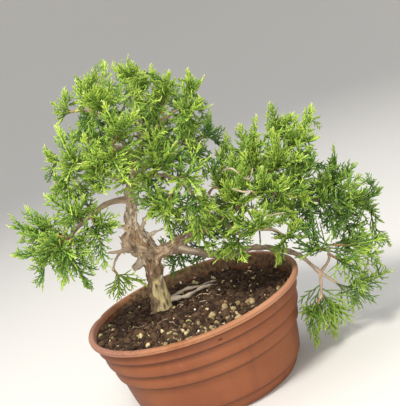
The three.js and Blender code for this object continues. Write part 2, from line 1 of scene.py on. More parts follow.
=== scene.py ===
"""The finish of a Pfitzer juniper grown as a small bonsai in a round ribbed pot.

The solids of the part fix where everything is. This script dresses them: a spun pot with a worn rim,
potting mix made of crumbs and grit, a trunk with flaking bark and bare wood, and 57 sprays of
scale-leaved shoots that follow the routes and the seeded rule of the solids.
Routes are in millimetres, as in the part; meshes are in metres.
"""

import math

import bpy
import numpy as np
from mathutils import Matrix, Vector, noise


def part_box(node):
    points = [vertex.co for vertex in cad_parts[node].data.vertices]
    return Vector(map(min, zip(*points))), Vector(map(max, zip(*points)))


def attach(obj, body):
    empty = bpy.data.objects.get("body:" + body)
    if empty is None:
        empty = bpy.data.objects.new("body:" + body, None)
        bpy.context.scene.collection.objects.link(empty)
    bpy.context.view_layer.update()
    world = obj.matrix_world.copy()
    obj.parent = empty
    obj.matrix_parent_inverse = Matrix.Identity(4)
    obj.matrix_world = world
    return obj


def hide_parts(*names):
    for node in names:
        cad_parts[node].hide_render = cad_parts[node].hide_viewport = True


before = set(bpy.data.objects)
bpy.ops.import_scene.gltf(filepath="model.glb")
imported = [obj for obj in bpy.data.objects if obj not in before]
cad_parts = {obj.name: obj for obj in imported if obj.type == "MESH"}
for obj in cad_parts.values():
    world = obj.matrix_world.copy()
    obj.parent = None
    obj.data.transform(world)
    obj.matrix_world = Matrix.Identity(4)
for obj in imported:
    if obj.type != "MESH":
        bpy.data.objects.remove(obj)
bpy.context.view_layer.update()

MM = 0.001

# The pot
POT_HEIGHT = 84
RIM_RADIUS = 100
RIM_WIDTH = 4.6
RIM_DEPTH = 5
FOOT_RADIUS = 71
FOOT_RING = 8
FOOT_RECESS = 2.5
INNER_WALL = ((90, 68), (76.8, 15.5))  # below the lip, which the mix follows
FLOOR_TOP = 5
FLOOR_RADIUS = 70
HUB_RADIUS = 10
DRAIN_RADIUS = 4
DRAIN_CIRCLE = 36
DRAIN_SIDES = 24
DRAINS = 6
RIM_SLOT = (-81.2, 95.5, 73.6)  # turn in degrees, radius and height of a small slot below the rim
RIM_SLOT_SIZE = (4, 3.4, 1.3)
CRACK_TURN = math.radians(-20.9)
NICK_TURN = math.radians(-126)
NICK_WIDTH = 0.02
KINK_TURN = math.radians(158)
KINK_WIDTH = 0.045
DENT_DEPTH = 0.9
WARP_HEIGHT = 60  # the pot is warped above this height
WARP_WAVES = ((0.35, 2, 0.4), (0.16, 5, 1.9), (0.08, 11, 0))  # size, number round the rim and shift
RIM_SHRINK = 0.5
POT_SIDES = 160
POT_CREASE = 38  # edges sharper than this many degrees stay sharp
BANDS = [  # radius at the lower edge, at the swell and at the top; height of the lower edge and of the top
    (79.6, 82, 84.2, 12.2, 41),
    (87.5, 88.9, 88, 42.2, 54.4),
    (91.5, 92.9, 91.7, 55.6, 68),
    (95.1, 96.1, 94.6, 69.4, 78),
]
BAND_STEPS = 7

# The soil
SOIL_LEVEL = 74
SOIL_SLOPE = (-0.035, -0.03)
SOIL_RADIUS = 93.4
SOIL_RINGS = 56
SOIL_SIDES = 150
SOIL_WALL = ((89.2, 66), (81.5, 40), (76, 24))
CRUMBLE = ((11, 2.5, 2.2), (4.2, 8.5, 1.4), (1.7, 4.5, 0.5))  # clods, crumbs, grains: width, layer, height
CRUMBS = 3000
CRUMB_KINDS = (  # name, share of all, smallest and largest radius, how far it stands out
    ("dark", 0.8, 0.7, 3.4, 0.25),
    ("red", 0.025, 1, 3, 0.45),
    ("cream", 0.085, 0.7, 2.7, 0.6),
    ("green", 0.055, 0.7, 2.2, 0.5),
    ("white", 0.035, 0.5, 1.8, 0.7),
)
CRUMB_MARGIN = 1.5
CRUMB_SQUEEZE = (0.5, 1.3)
SMALL_ONES = 2.6  # the higher, the more of the crumbs are small
LARGE_CRUMB = 1.75  # from this radius on, a crumb gets the finer model
GRAIN_CREASE = 50
GRAIN_ROUGHNESS = 0.6
GRIT_DRIFT = {"share": 0.45, "turn": (-2, -0.5), "radius": (30, 91)}  # pale grit that lies at the front
ROOT_HAIRS = 16
HAIR_CENTRE = (-26, 22)
HAIR_TURN = (-2.6, 1.2)
HAIR_REACH = (13, 52)
HAIR_LENGTH = (14, 38)
HAIR_STEP = 2
HAIR_SWAY = (-0.45, 0.45)
HAIR_LIFT = 1.6
HAIR_RADIUS = (0.35, 0.6)
HAIR_TIP = 0.16
HAIR_SIDES = 5

# The tree's wood: the trunk and the limbs that stay bare, each a route of x, y, z and a radius
TRUNK = [
    (-31, 26, 54, 8),
    (-30, 25, 73, 10.6),
    (-28, 24, 95, 9),
    (-25, 22, 116, 8.2),
    (-23, 21, 133, 8.4),
    (-25, 20, 147, 7),
    (-29, 18, 159, 5.8),
    (-28, 16, 170, 5),
    (-22, 15, 178, 4.6),
    (-21, 14, 189, 4.5),
    (-15, 13, 201, 4.2),
    (-4, 12, 217, 3.6),
    (6, 10, 234, 3),
    (11, 8, 254, 2.3),
    (13, 6, 272, 1.6),
]
BARE_LIMBS = {
    "burl": [(-25, 17, 133, 6.5), (-34, 12, 142, 6), (-38, 10, 151, 5), (-31, 14, 159, 4)],
    "burl_core": [(-26, 17, 137, 6.5), (-31, 15, 147, 6), (-29, 16, 156, 4.6)],
    "sawn_stub": [(-26, 18, 131, 3.6), (-33, 14, 127, 3.4), (-40, 7, 126, 3)],
    "foot_jin": [(-25, 20, 96, 3.4), (-19, 13, 109, 1.2)],
    "left_flake": [(-30, 15, 161, 2.6), (-40, 10, 165, 1.1)],
    "front_flake": [(-28, 15, 164, 2.4), (-29, 8, 176, 1)],
    "thorn": [(-26, 15, 161, 2), (-20, 8, 174, 0.8)],
    "hook": [(-24, 18, 152, 1.8), (-14, 12, 165, 1.3), (-6, 10, 169, 0.8)],
    "right_snag": [(-24, 19, 147, 1.8), (-3, 15, 149, 0.8)],
    "ring_twig": [
        (36, 8, 139, 1.8), (39, 2, 158, 1.6), (48, -4, 171, 1.4), (55, -6, 172, 1.2), (56, -9, 160, 0.9),
    ],
    "dead_twig": [(-34, 11, 146, 2.2), (-45, 4, 145, 1.7), (-56, 2, 148, 0.9)],
}
ROOTS = {
    "surface_root": [
        (-29, 25, 79, 3), (-14, 28, 77.5, 2.1), (0, 33, 76, 1.8), (14, 41, 74.5, 1.5), (28, 50, 70, 1.1),
    ],
    "thin_root": [
        (-29, 28, 80, 2.2), (-14, 37, 79, 1.6), (1, 45, 77, 1.4), (16, 53, 74, 1.2), (29, 60, 68, 1),
    ],
    "front_root": [(-31, 24, 74, 5), (-24, 8, 69, 3.4), (-16, -6, 60, 1.6)],
    "left_root": [(-32, 25, 74, 5), (-46, 12, 69, 3.4), (-56, 2, 60, 1.6)],
    "back_root": [(-31, 27, 74, 5), (-40, 42, 68, 3.2), (-46, 54, 58, 1.6)],
}
WANDERING_ROOTS = ("surface_root", "thin_root")
ROOT_THINNING = 0.9  # the wandering roots are a little thinner than their solids
ROOT_WANDER = 1.3
ROOT_WAVE = 0.21  # turn of the waves of such a root for each millimetre, in radians
ROOT_LIFT = 0.6
BURL_LUMPS = (  # they fill the burl out
    ((-36, 11, 144, 6.2), (-39, 9, 148, 5.6)),
    ((-22, 15, 126, 5), (-19, 14, 134, 4.6)),
    ((-24, 17, 141, 5.5), (-20, 16, 146, 3.6)),
)

# How the wood is dressed
WOOD_LOOK = ("around_x", "around_y", "along", "stripped", "pale", "dark")  # attributes of bark and wood; dark carries painted shade
ROUTE_STEP = 1.6
TRUNK_SIDES = 14
TRUNK_VOXEL = 0.7
TRUNK_AXIS = (-29, 24)
STRIPPED_FACING = math.radians(-48)
STRIPPED_TOP = 107
STRIPPED_SINK = 1.1
CRACK_DEPTH = 0.9
PEELED_HEIGHT = (125, 152)  # between these heights the bark of the trunk turns to pale flakes
BARK_GRAIN = {  # fineness round the limb, length along it, shift from limb to limb and sideways
    "strip": (2.4, 13, 7, 0, 0),
    "thread": (6.5, 6, 3, 0, 0),
    "seam": (2.7, 16, 5, 9, 4),
    "plate": (3.1, 8, 11, 5, 2),
}
LUMPS = (7.5, 1.9)  # width and height of the lumps of the bark
SMALL_LUMPS = (3.1, 0.55)
HOLLOWS = (  # the middle, half the width, and the depth
    (-19.5, 16, 98, 3.4, 2.6),
    (-22.3, 17, 88, 1.7, 1.8),
    (-21.4, 17.8, 80, 2, 2.2),
    (-26.5, 14.7, 78.5, 1.8, 1.8),
    (-28, 14.5, 99, 1.6, 1.8),
)
BLEACHED = {  # how pale the wood of each limb is, from 0, bark, to 1, bare wood
    "foot_jin": 0.9,
    "left_flake": 1,
    "front_flake": 0.8,
    "thorn": 0.9,
    "hook": 0.6,
    "right_snag": 0.7,
    "sawn_stub": 0.6,
    "dead_twig": 0.35,
    "surface_root": 0.8,
    "thin_root": 0.65,
    "burl": 0.2,
    "cascade": 0.35,
    "right_main": 0.12,
}
FLAKES = 170
FLAKE_ZONE = ((-44, 14), (104, 222))  # where bark peels: the least and most x, and z
FLAKE_BARE = (-33, 136)  # left of this x it peels only above this z
FLAKE_LENGTH = (3, 8.5)
FLAKE_WIDTH = (0.7, 1.9)
FLAKE_LIFT = (0.2, 1.6)
FLAKE_CUP = (0.1, 0.5)
FLAKE_SWAY = (-0.5, 0.5)
FLAKE_SINK = 0.5
FLAKES_UP = 0.6  # the share that peels upwards
TWIG_SIDES = 8
TWIG_PARTS = 6
TWIG_GIRTH = (1.6, 1.05)  # the radius of a bare twig at its ends
TWIG_KNOBS = (0.88, 1.14)
TWIG_PALE = 0.25
DEAD_TWIG_PALE = 0.5

# The boughs that carry leaves: the route, the radius at its ends, how far its shoots rise (+) or hang (-),
# and its sprays, each as the place on the bough, from 0 to 1, and the two tips of its fork
BOUGHS = {
    "left_low": {
        "route": [
            (-21, 14, 184), (-31, 6, 189), (-43, -4, 191), (-57, -14, 188), (-69, -22, 184), (-78, -28, 179),
        ],
        "radius": (3.2, 1.4),
        "rise": 0.05,
        "sprays": [
            (1, (-116, -30, 202), (-103, -18, 209)),
            (1, (-121, -38, 181), (-112, -34, 152)),
            (0.9, (-93, -50, 150), (-76, -40, 138)),
            (0.7, (-80, -34, 216), (-54, -48, 208)),
            (0.6, (-56, -44, 152), (-40, -44, 178)),
            (0.95, (-76, -64, 172), (-94, -62, 190)),
            (0.85, (-114, 8, 160), (-101, 18, 136)),
        ],
    },
    "left_middle": {
        "route": [(-16, 13, 200), (-27, 8, 209), (-38, 2, 221), (-48, -4, 232), (-56, -8, 240)],
        "radius": (2.8, 1.3),
        "rise": 0.25,
        "sprays": [
            (1, (-71, -10, 251), (-72, -16, 232)),
            (0.75, (-55, -20, 264), (-58, -42, 230)),
            (0.5, (-35, -38, 252), (-34, -46, 210)),
            (0.85, (-76, -26, 216), (-66, -40, 204)),
        ],
    },
    "upper_left": {
        "route": [(-4, 12, 218), (-10, 10, 238), (-16, 8, 259), (-25, 5, 270), (-34, 2, 275)],
        "radius": (2.6, 1.2),
        "rise": 0.4,
        "sprays": [
            (1, (-52, 0, 272), (-42, 4, 290)),
            (0.8, (-28, 10, 294), (-14, -4, 298)),
            (0.55, (-2, 12, 301), (-21, -30, 284)),
        ],
    },
    "crown": {
        "route": [(6, 10, 234), (11, 8, 254), (13, 6, 272)],
        "radius": (3, 1.4),
        "rise": 0.4,
        "sprays": [
            (1, (7, 18, 295), (21, -2, 294)),
            (0.6, (28, -14, 283), (22, 30, 285)),
        ],
    },
    "upper_right": {
        "route": [(6, 10, 234), (21, 6, 238), (37, 3, 245), (52, 0, 249)],
        "radius": (2.4, 1.1),
        "rise": 0.35,
        "sprays": [
            (0.5, (36, 4, 284), (46, -8, 276)),
            (1, (64, -2, 271), (71, 8, 261)),
            (0.85, (68, -8, 241), (50, -32, 240)),
        ],
    },
    "back_right": {
        "route": [(0, 12, 224), (16, 30, 216), (37, 45, 212), (54, 55, 209)],
        "radius": (2.6, 1.2),
        "rise": 0.2,
        "sprays": [
            (1, (72, 56, 224), (74, 62, 192)),
            (0.7, (53, 52, 247), (50, 72, 174)),
        ],
    },
    "front_middle": {
        "route": [(-17, 12, 195), (-2, 0, 201), (13, -12, 200), (25, -22, 193), (32, -28, 183)],
        "radius": (2.8, 1.2),
        "rise": 0,
        "sprays": [
            (0.35, (14, -36, 238), (30, -44, 224)),
            (0.7, (51, -36, 203), (37, -52, 186)),
            (1, (46, -38, 162), (25, -40, 146)),
            (0.8, (4, -36, 154), (-6, -38, 176)),
        ],
    },
    "back_left": {
        "route": [(-8, 12, 213), (-21, 35, 219), (-35, 52, 232)],
        "radius": (2.6, 1.2),
        "rise": 0.2,
        "sprays": [
            (1, (-67, 72, 252), (-36, 68, 274)),
            (0.6, (-52, 74, 198), (-60, 48, 222)),
        ],
    },
    "front_crown": {
        "route": [(-6, 12, 215), (-9, -8, 231), (-17, -25, 240)],
        "radius": (2.4, 1.2),
        "rise": 0.3,
        "sprays": [
            (1, (-9, -46, 271), (10, -52, 258)),
            (0.8, (-14, -56, 214), (-38, -58, 236)),
        ],
    },
    "back_middle": {
        "route": [(-15, 13, 201), (-6, 40, 201), (4, 60, 201)],
        "radius": (2.8, 1.3),
        "rise": 0.15,
        "sprays": [
            (1, (13, 68, 256), (32, 86, 214)),
            (0.7, (4, 78, 166), (-20, 86, 220)),
        ],
    },
    "right_main": {
        "route": [
            (-22, 20, 127), (-11, 16, 129), (1, 12, 132), (11, 10, 135), (20, 8, 136), (33, 8, 138),
            (49, 5, 141), (69, 0, 149), (87, 0, 157), (103, 3, 170), (115, 6, 184),
        ],
        "radius": (6, 1.4),
        "rise": 0.3,
        "sprays": [
            (0.62, (53, -8, 190), (76, 10, 207)),
            (0.8, (91, 2, 211), (107, 12, 212)),
            (1, (122, 0, 220), (137, 14, 204)),
            (0.96, (154, 4, 206), (147, -12, 184)),
            (0.86, (113, -36, 203), (128, -34, 176)),
            (0.66, (84, -40, 194), (60, -40, 178)),
            (0.76, (92, -52, 180), (104, -52, 160)),
            (0.84, (116, -28, 158), (122, -26, 134)),
        ],
    },
    "right_low": {
        "route": [(49, 5, 141), (60, -5, 126), (75, -8, 125), (88, -8, 120), (97, -6, 110)],
        "radius": (2.6, 1.2),
        "rise": -0.15,
        "sprays": [
            (0.3, (36, -34, 120), (55, -44, 116)),
            (0.6, (60, -52, 144), (80, -58, 150)),
            (1, (84, -22, 98), (108, -44, 128)),
        ],
    },
    "right_far": {
        "route": [(87, 0, 157), (111, 14, 140), (132, 22, 127), (153, 24, 114)],
        "radius": (2.4, 1.2),
        "rise": 0.3,
        "sprays": [
            (0.8, (166, 16, 162), (179, 26, 140)),
            (1, (194, 20, 112), (184, 12, 91)),
            (0.7, (152, 46, 138), (158, -12, 118)),
            (0.4, (134, 8, 178), (148, 32, 166)),
            (0.88, (176, 42, 98), (160, 34, 82)),
        ],
    },
    "right_back": {
        "route": [(49, 5, 141), (70, 28, 142), (95, 46, 145)],
        "radius": (2.6, 1.3),
        "rise": 0.2,
        "sprays": [
            (1, (98, 58, 184), (129, 64, 170)),
            (1, (137, 64, 127), (98, 78, 120)),
            (0.6, (72, 62, 160), (52, 72, 130)),
        ],
    },
    "cascade": {
        "route": [
            (-20, 22, 126), (-8, 27, 125), (4, 32, 121), (20, 40, 110), (37, 48, 98), (51, 49, 94),
            (64, 44, 96), (80, 34, 94), (93, 18, 91), (103, 0, 88), (110, -8, 79), (116, -14, 69),
        ],
        "radius": (4.2, 1.7),
        "rise": -0.2,
        "sprays": [],
    },
    "cascade_rise": {
        "route": [(116, -14, 69), (127, -14, 78), (130, -12, 90)],
        "radius": (1.6, 1.1),
        "rise": 0,
        "sprays": [
            (1, (169, -14, 60), (172, -20, 82)),
            (0.7, (144, -32, 52), (138, -44, 80)),
            (0.9, (104, -26, 112), (108, -38, 97)),
        ],
    },
    "cascade_drop": {
        "route": [(116, -14, 69), (113, -16, 59), (110, -17, 49)],
        "radius": (1.6, 1.1),
        "rise": -0.45,
        "sprays": [
            (1, (91, -24, 14), (90, -38, 50)),
            (0.9, (111, -14, 9), (128, -6, 18)),
        ],
    },
    "cascade_tip": {
        "route": [(116, -14, 69), (125, -12, 57), (133, -10, 46)],
        "radius": (1.5, 1),
        "rise": -0.2,
        "sprays": [(1, (173, -6, 45), (138, 8, 20))],
    },
    "dangling_twig": {
        "route": [(-45, 4, 145), (-52, 2, 140), (-57, 0, 133)],
        "radius": (1.4, 0.9),
        "rise": -0.4,
        "sprays": [(1, (-38, -6, 116), (-60, -4, 112))],
    },
}
THICK_BOUGHS = ("right_main", "cascade")

# How a spray is built, as in the solids
BARK = 1.09
TWIG_SHARE = 0.4
FORK_SHARE = 0.36
TWIG_RADIUS = (1.6, 1.3)
STEM_RADIUS = 1.3
FORK_RADIUS = 1.15
TIP_RADIUS = 0.7
SHOOT_RADIUS = 0.9
SHOOT_SPACING = 3.85
LEFT, TOP, RIGHT = 0, 1, 2
SHOOT_LENGTH = (25, 7.5)
SHOOT_ANGLE = (1.05, 0.6)
ANGLE_SPREAD = 0.35
TURN_SPREAD = 0.9
LENGTH_SPREAD = (0.8, 1.2)
SHOOT_TRIES = ((1, 0), (0.8, 0.6), (0.8, -0.6), (0.55, 0))
SEAT_GAP = 0.3
CLEARANCE = 0.35
LOWEST = 4
OFF_POT = 1.8
LIGHT = np.array((0.2, 0, 0.98))
LEAST_LEAN = 0.38
ROOT_SHARE = 0.35
SIDE_LIFT = 0.55
FORK_SAG = 0.12  # how much lower than a straight way the fork runs, as a share of the rise
KNEE_SAG = 0.1
ARM_SAG = 0.14
ARM_REACH = 0.35
ARM_PULL = 0.2
BENDS = (
    (0, 0, 0), (0, 5, 0), (0, -5, 0), (5, 0, 0), (-5, 0, 0), (0, 0, 5), (0, 0, -5),
    (0, 9, 3), (0, -9, 3), (8, 0, 4), (-8, 0, 4), (6, 8, -3), (-6, -8, -3), (0, 13, 0), (0, -13, 0),
)

# How the fine foliage is built
BRANCHLET_RINGS = ((0, 0.85), (0.42, 1.05), (0.8, 0.8))  # height and radius of each ring of the model
SHOOT_RINGS = ((0, 1), (0.22, 1.05), (0.45, 0.92), (0.7, 0.85), (0.9, 0.62))
BRANCHLET_SPACING = 2
BRANCHLET_RADIUS = 0.5
BRANCHLET_SHARE = 0.56
BRANCHLET_LENGTH = (3, 14)
BRANCHLET_TRIES = (1, 0.6)
BRANCHLET_END = 0.93  # the last ones stand this far along their shoot, as a share of it
BRANCHLET_STRETCH = 0.95  # the share of a shoot that their number is worked out from
BRANCHLET_SHIFT = (0.2, 0.8)
BRANCHLET_SWAY = (-0.35, 0.35)
BRANCHLET_SPREAD = (0.7, 1.25)
BRANCHLET_TAPER = 0.7  # the power by which they get shorter towards the tip of their shoot
BRANCHLET_BOW = 0.07  # how far they bow outwards and down, for their length
BRANCHLET_SAG = 0.06
FINE_SHOOT_RADIUS = 0.66
TWIGLET_LEAST = 7.5  # shorter branchlets carry no twiglets
TWIGLET_RADIUS = 0.45
TWIGLET_PLACES = (0.25, 0.48)
TWIGLET_SHARE = (0.42, 0.6)
TWIGLET_SWAY = (-0.3, 0.3)
TWIGLET_LEAN = 0.3
SHOOT_BOW = 0.09
HANGING_BOW = 0.6  # how much of that a shoot of a hanging spray bows, the other way
SHOOT_SHADES = (0.15, 0.95)  # from the darkest shoot to the lightest
SHADE_SPREAD = (-0.1, 0.1)
PLUME_ROLL = (-0.6, 0.6)
FILLER_ANGLE = (0.95, 0.55)
FILLER_LENGTH = (17, 7)
FILLER_ANGLE_SPREAD = (-0.2, 0.2)
FILLER_LENGTH_SPREAD = (0.7, 1.15)
FILLER_TURN = (-0.5, 0.5)
SEAT_TAKEN = 0.5  # nearer than this to the seat of another shoot there is no filler
RISING_LIFT = 0.12  # how far branchlets curve up, or down where the spray hangs, for their length
HANGING_LIFT = -0.04
STEM_SIDES = 6
STEM_SHRINK = 0.92
WOODY_MAIN = 0.62  # the share of a stem, from its foot, that is woody
WOODY_SIDE = 0.4
STEM_BURIED = 0.35  # how far the main stem reaches back into its twig, as a share of its first part
WIDE = (0.38, 0.66)  # angles between a shoot and its branchlets
ACUTE = (0.28, 0.48)
LEADER = 8  # how far the tip of a stem reaches past its solid
FINE_CLEARANCE = 0.1
LOOSE_BOUGHS = ("cascade_rise", "cascade_drop", "cascade_tip", "dangling_twig")  # long thin fans
LOOSE_SPACING = 1.8
LOOSE_ANGLE = (0.46, 0.7)
LOOSE_SIZE = 1.35
LOOSE_GIRTH = 1.25
LOOSE_BARE = 0.85  # share of the branchlets of a long thin fan that carry no twiglets
LOOSE_SKIPPED = 0.5  # share of the fillers that a long thin fan does without
SHADED_BOUGHS = {  # how much painted shade their leaves get, which makes them duller and bluer, from 0 to 1
    "back_right": 0.8,
    "back_middle": 0.7,
    "back_left": 0.5,
    "right_back": 0.8,
    "right_far": 0.35,
    "cascade_rise": 0.15,
    "cascade_drop": 0.15,
    "cascade_tip": 0.15,
    "left_low": 0.2,
    "inner_shoots": 0.4,
}
SHADED_PLACES = [  # leaves deep in the crown get painted shade too: x, z, a radius and how much
    (124, 120, 20, 0.8), (129, 95, 18, 0.8), (109, 108, 16, 0.8), (144, 74, 14, 0.5), (161, 32, 16, 0.6),
    (35, 206, 14, 0.6), (27, 179, 15, 0.6), (56, 195, 12, 0.6), (-66, 138, 16, 0.9), (-112, 158, 14, 0.8),
]
CROWN = [  # round masses that the leaves fill: x, y, z and a radius
    (-17, 0, 272, 24), (17, -8, 272, 23), (41, 0, 257, 22), (56, 10, 240, 18),
    (-35, -15, 239, 25), (2, -15, 237, 27), (30, -10, 221, 27), (52, 25, 204, 14),
    (11, -25, 188, 25), (29, -30, 175, 21), (-12, -30, 215, 20), (-53, -20, 220, 18), (26, -38, 148, 12),
    (-103, -25, 189, 19), (-80, -30, 176, 25), (-52, -40, 184, 16), (-71, -50, 157, 14), (-98, -30, 171, 16),
    (68, -10, 189, 16), (91, -5, 186, 23), (121, -5, 181, 27), (146, 0, 195, 14), (112, -25, 152, 23),
    (151, 0, 133, 25), (172, 15, 108, 14), (155, 10, 98, 20),
    (50, -35, 148, 16), (75, -30, 153, 21), (35, -40, 133, 11), (98, -35, 137, 14), (125, -25, 112, 17),
    (151, 5, 77, 14), (178, 8, 96, 13), (175, 0, 72, 12), (160, -8, 60, 12), (185, 12, 122, 12),
    (12, 45, 132, 15), (34, 42, 128, 16), (50, 30, 126, 13), (8, 20, 160, 14), (40, 0, 152, 16),
    (24, 5, 152, 12), (125, 42, 128, 17), (134, 42, 116, 15), (120, 44, 110, 14), (104, 40, 122, 14),
    (62, -5, 140, 16), (135, 10, 158, 18), (-4, 46, 114, 13), (13, 50, 112, 14), (28, 50, 112, 11),
    (118, 5, 120, 14), (136, 15, 135, 16), (168, 6, 134, 14), (156, 6, 110, 13),
    (-20, 36, 248, 18), (20, 36, 240, 20), (45, 34, 224, 15), (-42, 34, 224, 14), (88, 36, 180, 17),
    (120, 34, 168, 15), (121, 22, 126, 13), (108, 24, 134, 12), (95, 26, 138, 11), (131, 26, 113, 12),
    (143, 24, 122, 13), (148, 26, 98, 12), (162, 24, 110, 13), (166, 24, 90, 12), (168, 22, 70, 11),
    (-8, 44, 116, 11), (-5, 48, 103, 11), (6, 52, 100, 10), (18, 54, 103, 10), (-6, 42, 128, 11),
    (-61, -10, 207, 13), (-50, -8, 210, 12), (-72, -14, 205, 12), (-43, -4, 210, 11), (-57, -8, 197, 11),
]
REACHING = [  # tips that stand out of the crown
    (-3, 0, 307), (9, 0, 302), (20, 0, 302), (35, 0, 287), (65, 0, 271), (72, 0, 267), (-27, 0, 303),
    (-42, 0, 293), (-54, 0, 272), (-73, 0, 254), (-82, 0, 227), (64, 0, 228), (65, 0, 202), (75, 0, 206),
    (90, 0, 211), (122, 0, 222), (155, 0, 210), (149, 0, 203), (164, 14, 164), (177, 14, 143),
    (195, 14, 115), (181, 14, 95), (178, 14, 71), (-116, -30, 213), (-122, -30, 184), (-118, -30, 150),
    (-86, -30, 213), (-101, -30, 209), (-76, -30, 218),
]
DEAD_TWIGS = [  # a broken stub, and old bare twigs that loop between the leaves
    [(1, 12, 132, 3.1), (6, 9, 129, 3), (12, 8, 124.5, 2.4), (17, 8, 121.5, 2.2), (20.5, 7, 118.5, 1.2)],
    [(62, -4, 184, 0.9), (71, -30, 188, 0.8), (77, -32, 179, 0.7), (82, -32, 175, 0.7), (88, -26, 181, 0.5)],
    [(60, -8, 168, 1), (66, -34, 172, 0.9), (74, -37, 167, 0.8), (81, -36, 165, 0.7), (83, -34, 159, 0.5)],
    [(40, -4, 174, 1), (44, -26, 174, 0.9), (48, -30, 163, 0.8), (45, -30, 159, 0.7), (34, -29, 156, 0.5)],
    [(56, -12, 128, 1), (67, -30, 132, 0.9), (76, -31, 130, 0.8), (86, -30, 128, 0.7), (96, -28, 116, 0.5)],
    [(74, -14, 150, 1), (80, -38, 147, 0.8), (85, -40, 142, 0.7), (97, -38, 139, 0.6), (101, -34, 133, 0.4)],
]
FANS = [  # long shoots of the cascade: where they start and where they reach
    ((130, -13, 90), (178, -14, 79)), ((130, -13, 88), (172, -18, 64)), ((129, -13, 86), (160, -10, 56)),
    ((130, -13, 90), (106, -24, 113)), ((130, -13, 91), (118, -22, 120)), ((129, -13, 88), (104, -20, 97)),
    ((133, -10, 46), (172, -12, 46)), ((126, -12, 56), (140, -16, 24)), ((130, -11, 50), (158, -16, 28)),
    ((113, -16, 59), (86, -20, 51)), ((112, -16, 57), (88, -20, 30)), ((110, -17, 50), (94, -20, 13)),
    ((110, -17, 49), (109, -20, 12)), ((111, -17, 52), (124, -20, 17)), ((112, -16, 56), (132, -20, 30)),
]
OPEN = [  # places in front of the trunk that stay open
    (-27, -6, 174, 15), (-25, -6, 152, 21), (-22, -6, 130, 24), (-8, -4, 120, 22),
]
CROWN_DEPTH = 1.35  # how much deeper than wide the masses are
TARGETS = 0.013  # how many places are filled in a mass, for each cubic millimetre of its radius cubed
FILL_ROUNDS = 3
FILL_GAP = (3.7, 28)  # a shoot fills a place that is this far from the others
FILL_SLANT = 0.9  # how far back on its parent such a shoot starts, as a share of the gap
FILL_BEYOND = 3  # how far its tip reaches past the place
FILL_CLEAR = 0.3  # the share of it, at its start, that may touch others
LOWEST_BOUGH_SHOOT = 98
NEARBY = 8  # what is further than this from a spray's box is out of its reach

# The dice, and the seeds of what is drawn with them
DICE_RANGE = 2**32
DICE_SPREAD = 2654435761
DICE_FACTOR = 1664525
DICE_STEP = 1013904223
CROWN_SEED = 77
HAIR_SEED = 415
TWIG_SEED = 500
FLAKE_SEED = 640
CRUMB_SEED = 901
LEAF_SEED = 3000
FAN_SEED = 3015

# Outputs of shader nodes, by number
OBJECT_PLACE = 3
ATTRIBUTE_NUMBER = 2

# Camera and light
CAMERA_TARGET = Vector((36, 0, 163)) * MM
CAMERA_DISTANCE = 0.71
CAMERA_ELEVATION = math.radians(12.1)
CAMERA_ROLL = math.radians(-19.8)
FIELD_OF_VIEW = math.radians(28)
IMAGE_SIZE = (400, 406)
SENSOR = 36
LIGHTS = (  # name, place, width in metres, power and tint
    ("key", (-0.36, -0.72, 1.3), 0.35, 24, (1, 0.96, 0.9)),
    ("front", (0.05, -1.25, 0.35), 0.5, 6.5, (1, 0.97, 0.93)),
    ("fill", (1.1, -0.8, 0.6), 1.2, 3, (0.93, 0.96, 1)),
    ("top", (0.1, 0.5, 1.3), 0.9, 6, (1, 1, 1)),
)
SKY = (0.82, 0.83, 0.85, 1)
SKY_STRENGTH = 0.58
FLOOR_REACH = 1.7
FLOOR_BEND = 1.3
FLOOR_RINGS = 6
FLOOR_BEND_RINGS = 12
FLOOR_SIDES = 64


# Numbers and places


def mix(a, b, t):
    return a + (b - a) * t


def place(point):
    return np.array(point[:3], float)


def unit(v):
    return v / math.sqrt(v @ v)


def dice(seed):
    """Random numbers from 0 to 1 that are the same on every run."""
    state = seed * DICE_SPREAD % DICE_RANGE

    def roll():
        nonlocal state
        state = (state * DICE_FACTOR + DICE_STEP) % DICE_RANGE
        return state / DICE_RANGE

    return roll


def between(random, low, high):
    return low + (high - low) * random()


def smooth_step(low, high, x):
    t = np.clip((x - low) / (high - low), 0, 1)
    return t * t * (3 - 2 * t)


def way_along(points, share):
    """The place at a share of the way along straight pieces between points."""
    at = min(share * (len(points) - 1), len(points) - 1.0001)
    i = int(at)
    return mix(points[i], points[i + 1], at - i)


def on_curve(ends, t):
    """A place on the curve from the first point to the last that the middle one pulls."""
    a, b, c = ends
    return (1 - t) ** 2 * a + 2 * (1 - t) * t * b + t**2 * c


def frame_along(points, start=None):
    """Heading at each point, and two directions across it that turn as little as they can."""
    last = len(points) - 1
    along = [unit(points[min(i + 1, last)] - points[max(i - 1, 0)]) for i in range(last + 1)]
    upright = abs(along[0][2]) > 0.9
    carried = np.array((0, float(upright), float(not upright))) if start is None else start
    frames = []
    for heading in along:
        carried = unit(carried - heading * (carried @ heading))
        frames.append((heading, carried, np.cross(carried, heading)))
    return frames


# What fills the air above the pot


def clear_of_pot(p):
    """True where a place keeps off the floor, the pot's wall and the mix."""
    radius = math.hypot(p[0], p[1])
    if p[2] < LOWEST:
        return False
    if p[2] > POT_HEIGHT + OFF_POT:
        return True
    if radius < RIM_RADIUS - 2 * RIM_WIDTH:
        return p[2] > SOIL_LEVEL + 3 * OFF_POT
    wall = mix(FOOT_RADIUS + OFF_POT, RIM_RADIUS, p[2] / POT_HEIGHT)
    return radius > (RIM_RADIUS if p[2] > BANDS[3][4] else wall) + OFF_POT


